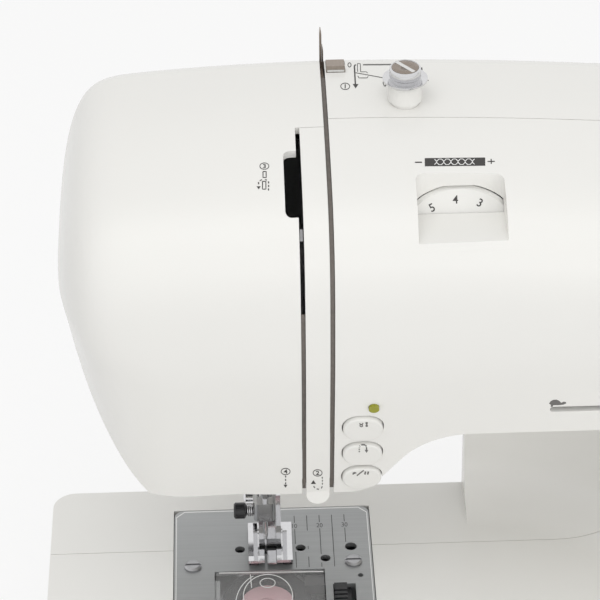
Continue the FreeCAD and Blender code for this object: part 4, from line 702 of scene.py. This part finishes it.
def plate_bevel_highlight():
    """A painted highlight on the bevelled edge of the plate, from its front left round the rear to its front
    right.
    """
    left, right = PLATE_LEFT + BEVEL_INSET, PLATE_RIGHT - BEVEL_INSET
    front, rear = PLATE_FRONT + BEVEL_FRONT_GAP, PLATE_REAR - BEVEL_CORNER
    path = ((left, front), (left, rear), (PLATE_LEFT + BEVEL_CORNER, PLATE_REAR - BEVEL_INSET),
            (PLATE_RIGHT - BEVEL_CORNER, PLATE_REAR - BEVEL_INSET), (right, rear), (right, front))
    steel = surface_of("needle_plate")
    bevel = Sign("plate_bevel_highlight", steel, HIGHLIGHT_METAL, "machine", "plate_steel", lift=BEVEL_LIFT)
    bevel.stroke([pixel(x, y, 0) for x, y in path], BEVEL_WIDTH, step=BEVEL_STEP)
    bevel.make()


# Clear cover, in pixels: a ring, a part of a wider one, a small oval, a mark and the line across
COVER_RING, COVER_RING_RADII, COVER_RING_LINE, COVER_RING_STEPS = (268.0, 596.0), (24.6, 21.4), 0.9, 40
COVER_ARC, COVER_ARC_RADII, COVER_ARC_LINE = (266.5, 606.0), (31.0, 33.0), 0.8
COVER_ARC_START, COVER_ARC_TURN = 190.0, 55.0
COVER_MARK, COVER_MARK_LINE = ((250.4, 574.6), (251.6, 588.0)), 0.9
COVER_ACROSS, COVER_ACROSS_LINE, COVER_ACROSS_STEP = ((219.0, 573.2), (323.4, 571.6)), 1.0, 4.0
COVER_OVAL, COVER_OVAL_RADII, COVER_OVAL_LINE, COVER_OVAL_STEPS = (267.6, 583.0), (7.6, 4.6), 0.8, 26


def cover_lines():
    """Moulded rings and the thread guide line on the clear cover over the bobbin."""
    rings = Sign("cover_rings", surface_of("bobbin_cover"), PALE_INK, "bobbin_cover", "clear_plastic")
    rings.ring(COVER_RING, COVER_RING_RADII, COVER_RING_LINE, count=COVER_RING_STEPS)
    rings.ring(COVER_ARC, COVER_ARC_RADII, COVER_ARC_LINE, start=COVER_ARC_START, turn=COVER_ARC_TURN)
    rings.stroke(COVER_MARK, COVER_MARK_LINE)
    rings.stroke(COVER_ACROSS, COVER_ACROSS_LINE, step=COVER_ACROSS_STEP)
    rings.ring(COVER_OVAL, COVER_OVAL_RADII, COVER_OVAL_LINE, count=COVER_OVAL_STEPS)
    rings.make()


def add_piece(name, points, faces, material, body, smooth=True):
    """A closed piece from points in millimetres from the needle."""
    mesh = bpy.data.meshes.new(name)
    mesh.from_pydata([NEEDLE + Vector(point) * MM for point in points], [], faces)
    editor = bmesh.new()
    editor.from_mesh(mesh)
    bmesh.ops.recalc_face_normals(editor, faces=editor.faces)
    editor.to_mesh(mesh)
    editor.free()
    for polygon in mesh.polygons:
        polygon.use_smooth = smooth
    return add_object(name, mesh, material, body)


# Thread slots, in millimetres from the needle: where the skin beside the slot is met, the liner's two sides,
# and the angles in degrees between which it runs about the head's middle, from the front over the top
RIGHT_SLOT = {"beside": 25.0, "sides": (22.45, 23.85), "angles": (-68.0, 108.0)}
LEFT_SLOT = {"beside": 11.0, "sides": (12.25, 13.55), "angles": (-68.0, 23.0)}
# Height of the head's middle, and how far out from it the rays to the skin start
HEAD_MIDDLE, OUTSIDE_HEAD = 130.0, 110.0
LINER_SINK, LINER_WALL, LINER_STEPS = 1.6, 0.8, 60


def slot_liner(name, skin, beside, sides, angles):
    """The inner wall seen through a thread slot: a channel a little below the skin beside it, its dark
    brown-grey painted shade of the slot's depth.
    """
    centre = NEEDLE + Vector((beside, 0.0, HEAD_MIDDLE)) * MM
    points = []
    for index in range(LINER_STEPS + 1):
        angle = math.radians(angles[0] + (angles[1] - angles[0]) * index / LINER_STEPS)
        outward = Vector((0.0, -math.cos(angle), math.sin(angle)))
        place = skin.ray_cast(centre + outward * OUTSIDE_HEAD * MM, -outward)[0]
        spot = (place - NEEDLE) / MM
        for sink in (LINER_SINK, LINER_SINK + LINER_WALL):
            floor = spot - outward * sink
            points += [(side, floor.y, floor.z) for side in sides]
    faces = []
    for index in range(LINER_STEPS):
        a, b = 4 * index, 4 * (index + 1)
        faces += [(a, a + 1, b + 1, b), (a + 2, b + 2, b + 3, a + 3)]
        faces += [(a, b, b + 2, a + 2), (a + 1, a + 3, b + 3, b + 1)]
    last = 4 * LINER_STEPS
    faces += [(0, 2, 3, 1), (last, last + 1, last + 3, last + 2)]
    add_piece(name, points, faces, SLOT_SHADE, "machine", smooth=False)


def slot_liners():
    slot_liner("right_slot_liner", surface_of("front_casing", "rear_casing"), **RIGHT_SLOT)
    slot_liner("left_slot_liner", surface_of("face_cover"), **LEFT_SLOT)


LATHE_STEPS = 40


def lathe(name, profile, centre, material, body):
    """A closed ring of revolution about an upright axis: profile as (radius, height) from a point."""
    points, faces, rows = [], [], len(profile)
    for index in range(LATHE_STEPS):
        angle = math.tau * index / LATHE_STEPS
        for radius, height in profile:
            spoke = Vector((radius * math.cos(angle), radius * math.sin(angle), height))
            points.append(Vector(centre) + spoke)
    for index in range(LATHE_STEPS):
        a, b = index * rows, (index + 1) % LATHE_STEPS * rows
        for step in range(rows):
            after = (step + 1) % rows
            faces.append((a + step, b + step, b + after, a + after))
    return add_piece(name, points, faces, material, body)


EDGE_BEVEL, EDGE_SEGMENTS = 0.15 * MM, 2


def plate_piece(name, outline, low, high, material, body):
    """A flat piece with softened edges, from an outline in the horizontal plane."""
    count = len(outline)
    points = [(x, y, low) for x, y in outline] + [(x, y, high) for x, y in outline]
    faces = [tuple(reversed(range(count))), tuple(range(count, 2 * count))]
    for index in range(count):
        after = (index + 1) % count
        faces.append((index, after, count + after, count + index))
    piece = add_piece(name, points, faces, material, body, smooth=False)
    bevel = piece.modifiers.new("edges", "BEVEL")
    bevel.width = EDGE_BEVEL
    bevel.segments = EDGE_SEGMENTS


# Pretension post, in millimetres: its axis and ring from the needle, and its screw's profiles as radius and
# height from the head's underside, which lies SCREW_DROP below the top of the CAD screw
POST_X, POST_Y, POST_RING_LOW = 51.7, 5.5, 199.1
POST_RING = ((6.05, 0.0), (7.0, 0.0), (7.0, 0.5), (6.05, 0.5))
SCREW_DROP = 4.2
SCREW_HEAD = ((0.01, 0.0), (5.2, 0.0), (5.6, 0.4), (5.6, 3.4), (5.2, 3.8), (4.9, 3.7), (0.01, 3.7))
# Top face of the screw, coloured with a painted brown reflection
SCREW_FACE = ((0.01, 3.7), (4.9, 3.7), (4.7, 3.86), (0.01, 3.92))
# Painted highlight along the screw's slot, a bright bar: half its length and width, its turn in degrees, and
# its underside and top
BAR_LONG, BAR_WIDE, BAR_TURN = 4.6, 0.75, -52.0
BAR_LOW, BAR_HIGH = 3.8, 4.0


def pretension_trim():
    lathe("post_ring", POST_RING, (POST_X, POST_Y, POST_RING_LOW), BLACK, "machine")
    low = (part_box("pretension_screw")[1][2] - NEEDLE.z) / MM - SCREW_DROP
    head = lathe("tension_screw_head", SCREW_HEAD, (POST_X, POST_Y, low), CHROME, "machine")
    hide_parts("pretension_screw")
    lathe("tension_screw_face", SCREW_FACE, (POST_X, POST_Y, low), BROWN_REFLECTION, "machine")
    cos, sin = math.cos(math.radians(BAR_TURN)), math.sin(math.radians(BAR_TURN))
    outline = []
    for way_along, way_across in ((-1, -1), (1, -1), (1, 1), (-1, 1)):
        along, across = way_along * BAR_LONG, way_across * BAR_WIDE
        outline.append((POST_X + along * cos - across * sin, POST_Y + along * sin + across * cos))
    plate_piece("tension_screw_slot_highlight", outline, low + BAR_LOW, low + BAR_HIGH, HIGHLIGHT_METAL, "machine")


# Spring of the needle clamp's screw, in millimetres: start from the needle, length, radius and wire's radius
SPRING_START, SPRING_LENGTH, SPRING_RADIUS, SPRING_WIRE = Vector((-8.8, 0.0, 21.5)), 2.3, 2.1, 0.28
SPRING_TURNS, SPRING_STEPS, SPRING_SIDES = 3, 18, 8


def clamp_spring():
    """A coil along X."""
    points, faces = [], []
    rows = SPRING_STEPS * SPRING_TURNS
    for index in range(rows + 1):
        share = index / rows
        angle = math.tau * SPRING_TURNS * share
        middle = SPRING_START + Vector((SPRING_LENGTH * share, 0, 0))
        outward = Vector((0.0, math.cos(angle), math.sin(angle)))
        for side in range(SPRING_SIDES):
            turn = math.tau * side / SPRING_SIDES
            along = Vector((SPRING_WIRE * math.sin(turn), 0, 0))
            points.append(middle + outward * (SPRING_RADIUS + SPRING_WIRE * math.cos(turn)) + along)
    for index in range(rows):
        a, b = index * SPRING_SIDES, (index + 1) * SPRING_SIDES
        for side in range(SPRING_SIDES):
            after = (side + 1) % SPRING_SIDES
            faces.append((a + side, b + side, b + after, a + after))
    faces.append(tuple(range(SPRING_SIDES)))
    faces.append(tuple(reversed(range(rows * SPRING_SIDES, (rows + 1) * SPRING_SIDES))))
    add_piece("clamp_spring", points, faces, CHROME, "needle_screw")


# Window of the foot, in millimetres from the needle
WINDOW_LEFT, WINDOW_RIGHT, WINDOW_FRONT, WINDOW_REAR = -1.3, 2.3, -9.4, -2.0
WINDOW_LOW, WINDOW_HIGH = 1.5, 2.6


def foot_window():
    outline = [(WINDOW_LEFT, WINDOW_FRONT), (WINDOW_RIGHT, WINDOW_FRONT),
               (WINDOW_RIGHT, WINDOW_REAR), (WINDOW_LEFT, WINDOW_REAR)]
    plate_piece("foot_window", outline, WINDOW_LOW, WINDOW_HIGH, CHROME, "foot")


# Lamps: place, target, size and power in watts
KEY_LAMP = {"place": (-0.3, -0.6, 1.5), "target": (-0.05, 0.0, 0.2), "size": (1.3, 1.1), "power": 5.9}
FILL_LAMP = {"place": (0.5, -1.6, 0.3), "target": (0.0, 0.0, 0.12), "size": (1.4, 0.5), "power": 5.2}

# The studio is brightest above, and brighter on the right than on the left
BRIGHT_SIDE = (0.5, -0.1, 1.0)
DIM_LIGHT, BRIGHT_LIGHT = (0.50, 0.50, 0.505), (0.72, 0.72, 0.715)
LIGHT_SPAN = (0.40, 0.62)
PURE_WHITE = (1.0, 1.0, 1.0, 1.0)

# Floor: half its width, its colour as a source of light, its gloss, and how much of its white is its own glow
FLOOR_REACH = 40.0
FLOOR_COLOUR = (0.80, 0.80, 0.80, 1.0)
FLOOR_ROUGHNESS = 0.6
FLOOR_GLOW = 0.66


def area_lamp(name, place, target, size, power):
    data = bpy.data.lights.new(name, "AREA")
    data.shape = "RECTANGLE"
    data.size, data.size_y = size
    data.energy = power
    lamp = bpy.data.objects.new(name, data)
    lamp.visible_glossy = False
    away = Vector(target) - Vector(place)
    lamp.matrix_world = Matrix.Translation(place) @ away.to_track_quat("-Z", "Y").to_matrix().to_4x4()
    SCENE.collection.objects.link(lamp)


def background_rays(tree):
    """1 for the rays that show the background: seen directly, in a reflection or through something clear."""
    path = add_node(tree, "ShaderNodeLightPath")
    total = path.outputs["Is Camera Ray"]
    for kind in ("Is Glossy Ray", "Is Transmission Ray"):
        either = add_node(tree, "ShaderNodeMath", operation="MAXIMUM")
        link(tree, total, either.inputs[0])
        link(tree, path.outputs[kind], either.inputs[1])
        total = either.outputs["Value"]
    return total


def add_world():
    """White to the rays that show the background. As a light it is grey, and brighter towards BRIGHT_SIDE."""
    world = bpy.data.worlds.new("studio")
    SCENE.world = world
    world.use_nodes = True
    tree = world.node_tree
    background = tree.nodes["Background"]
    coords = add_node(tree, "ShaderNodeTexCoord")
    towards = add_node(tree, "ShaderNodeVectorMath", operation="DOT_PRODUCT")
    towards.inputs[1].default_value = BRIGHT_SIDE
    link(tree, coords.outputs["Generated"], towards.inputs[0])
    share = add_node(tree, "ShaderNodeMapRange")
    share.inputs["From Min"].default_value = -1.0
    link(tree, towards.outputs["Value"], share.inputs["Value"])
    light = add_ramp(tree, DIM_LIGHT, BRIGHT_LIGHT, LIGHT_SPAN)
    link(tree, share.outputs["Result"], light.inputs["Fac"])
    white = add_node(tree, "ShaderNodeMix", data_type="RGBA")
    white.inputs["B"].default_value = PURE_WHITE
    link(tree, background_rays(tree), white.inputs["Factor"])
    link(tree, light.outputs["Color"], white.inputs["A"])
    link(tree, white.outputs["Result"], background.inputs["Color"])
    background.inputs["Strength"].default_value = 1.0


def floor_material():
    """Pale as a source of light, and partly glowing white to the rays that show the background."""
    material = bpy.data.materials.new("floor")
    material.use_nodes = True
    tree = material.node_tree
    shader = tree.nodes["Principled BSDF"]
    shader.inputs["Roughness"].default_value = FLOOR_ROUGHNESS
    pale = add_node(tree, "ShaderNodeMix", data_type="RGBA")
    pale.inputs["A"].default_value = FLOOR_COLOUR
    pale.inputs["B"].default_value = PURE_WHITE
    link(tree, background_rays(tree), pale.inputs["Factor"])
    link(tree, pale.outputs["Result"], shader.inputs["Base Color"])
    glow = add_node(tree, "ShaderNodeEmission", Strength=1.0)
    share = add_node(tree, "ShaderNodeMath", operation="MULTIPLY")
    share.inputs[1].default_value = FLOOR_GLOW
    link(tree, background_rays(tree), share.inputs[0])
    mixed = add_node(tree, "ShaderNodeMixShader")
    link(tree, share.outputs["Value"], mixed.inputs["Fac"])
    link(tree, shader.outputs["BSDF"], mixed.inputs[1])
    link(tree, glow.outputs["Emission"], mixed.inputs[2])
    link(tree, mixed.outputs["Shader"], tree.nodes["Material Output"].inputs["Surface"])
    return material


def add_floor():
    """A pale table that takes the shadow and looks white where nothing shades it."""
    mesh = bpy.data.meshes.new("floor")
    reach = FLOOR_REACH
    corners = [(-reach, -reach, 0), (reach, -reach, 0), (reach, reach, 0), (-reach, reach, 0)]
    mesh.from_pydata(corners, [], [(0, 1, 2, 3)])
    floor = bpy.data.objects.new("floor", mesh)
    SCENE.collection.objects.link(floor)
    mesh.materials.append(floor_material())


add_camera()
dress_nodes()
take_up_sign()
down_sign()
up_sign()
route_signs()
tension_sign()
tension_stitches()
dial_figures()
needle_button_sign()
reverse_button_sign()
start_button_sign()
slow_sign()
display_signs()
seam_lines()
plate_bevel_highlight()
cover_lines()
slot_liners()
pretension_trim()
clamp_spring()
foot_window()
add_world()
add_floor()
area_lamp("key", **KEY_LAMP)
area_lamp("fill", **FILL_LAMP)
SCENE.view_settings.view_transform = "Standard"
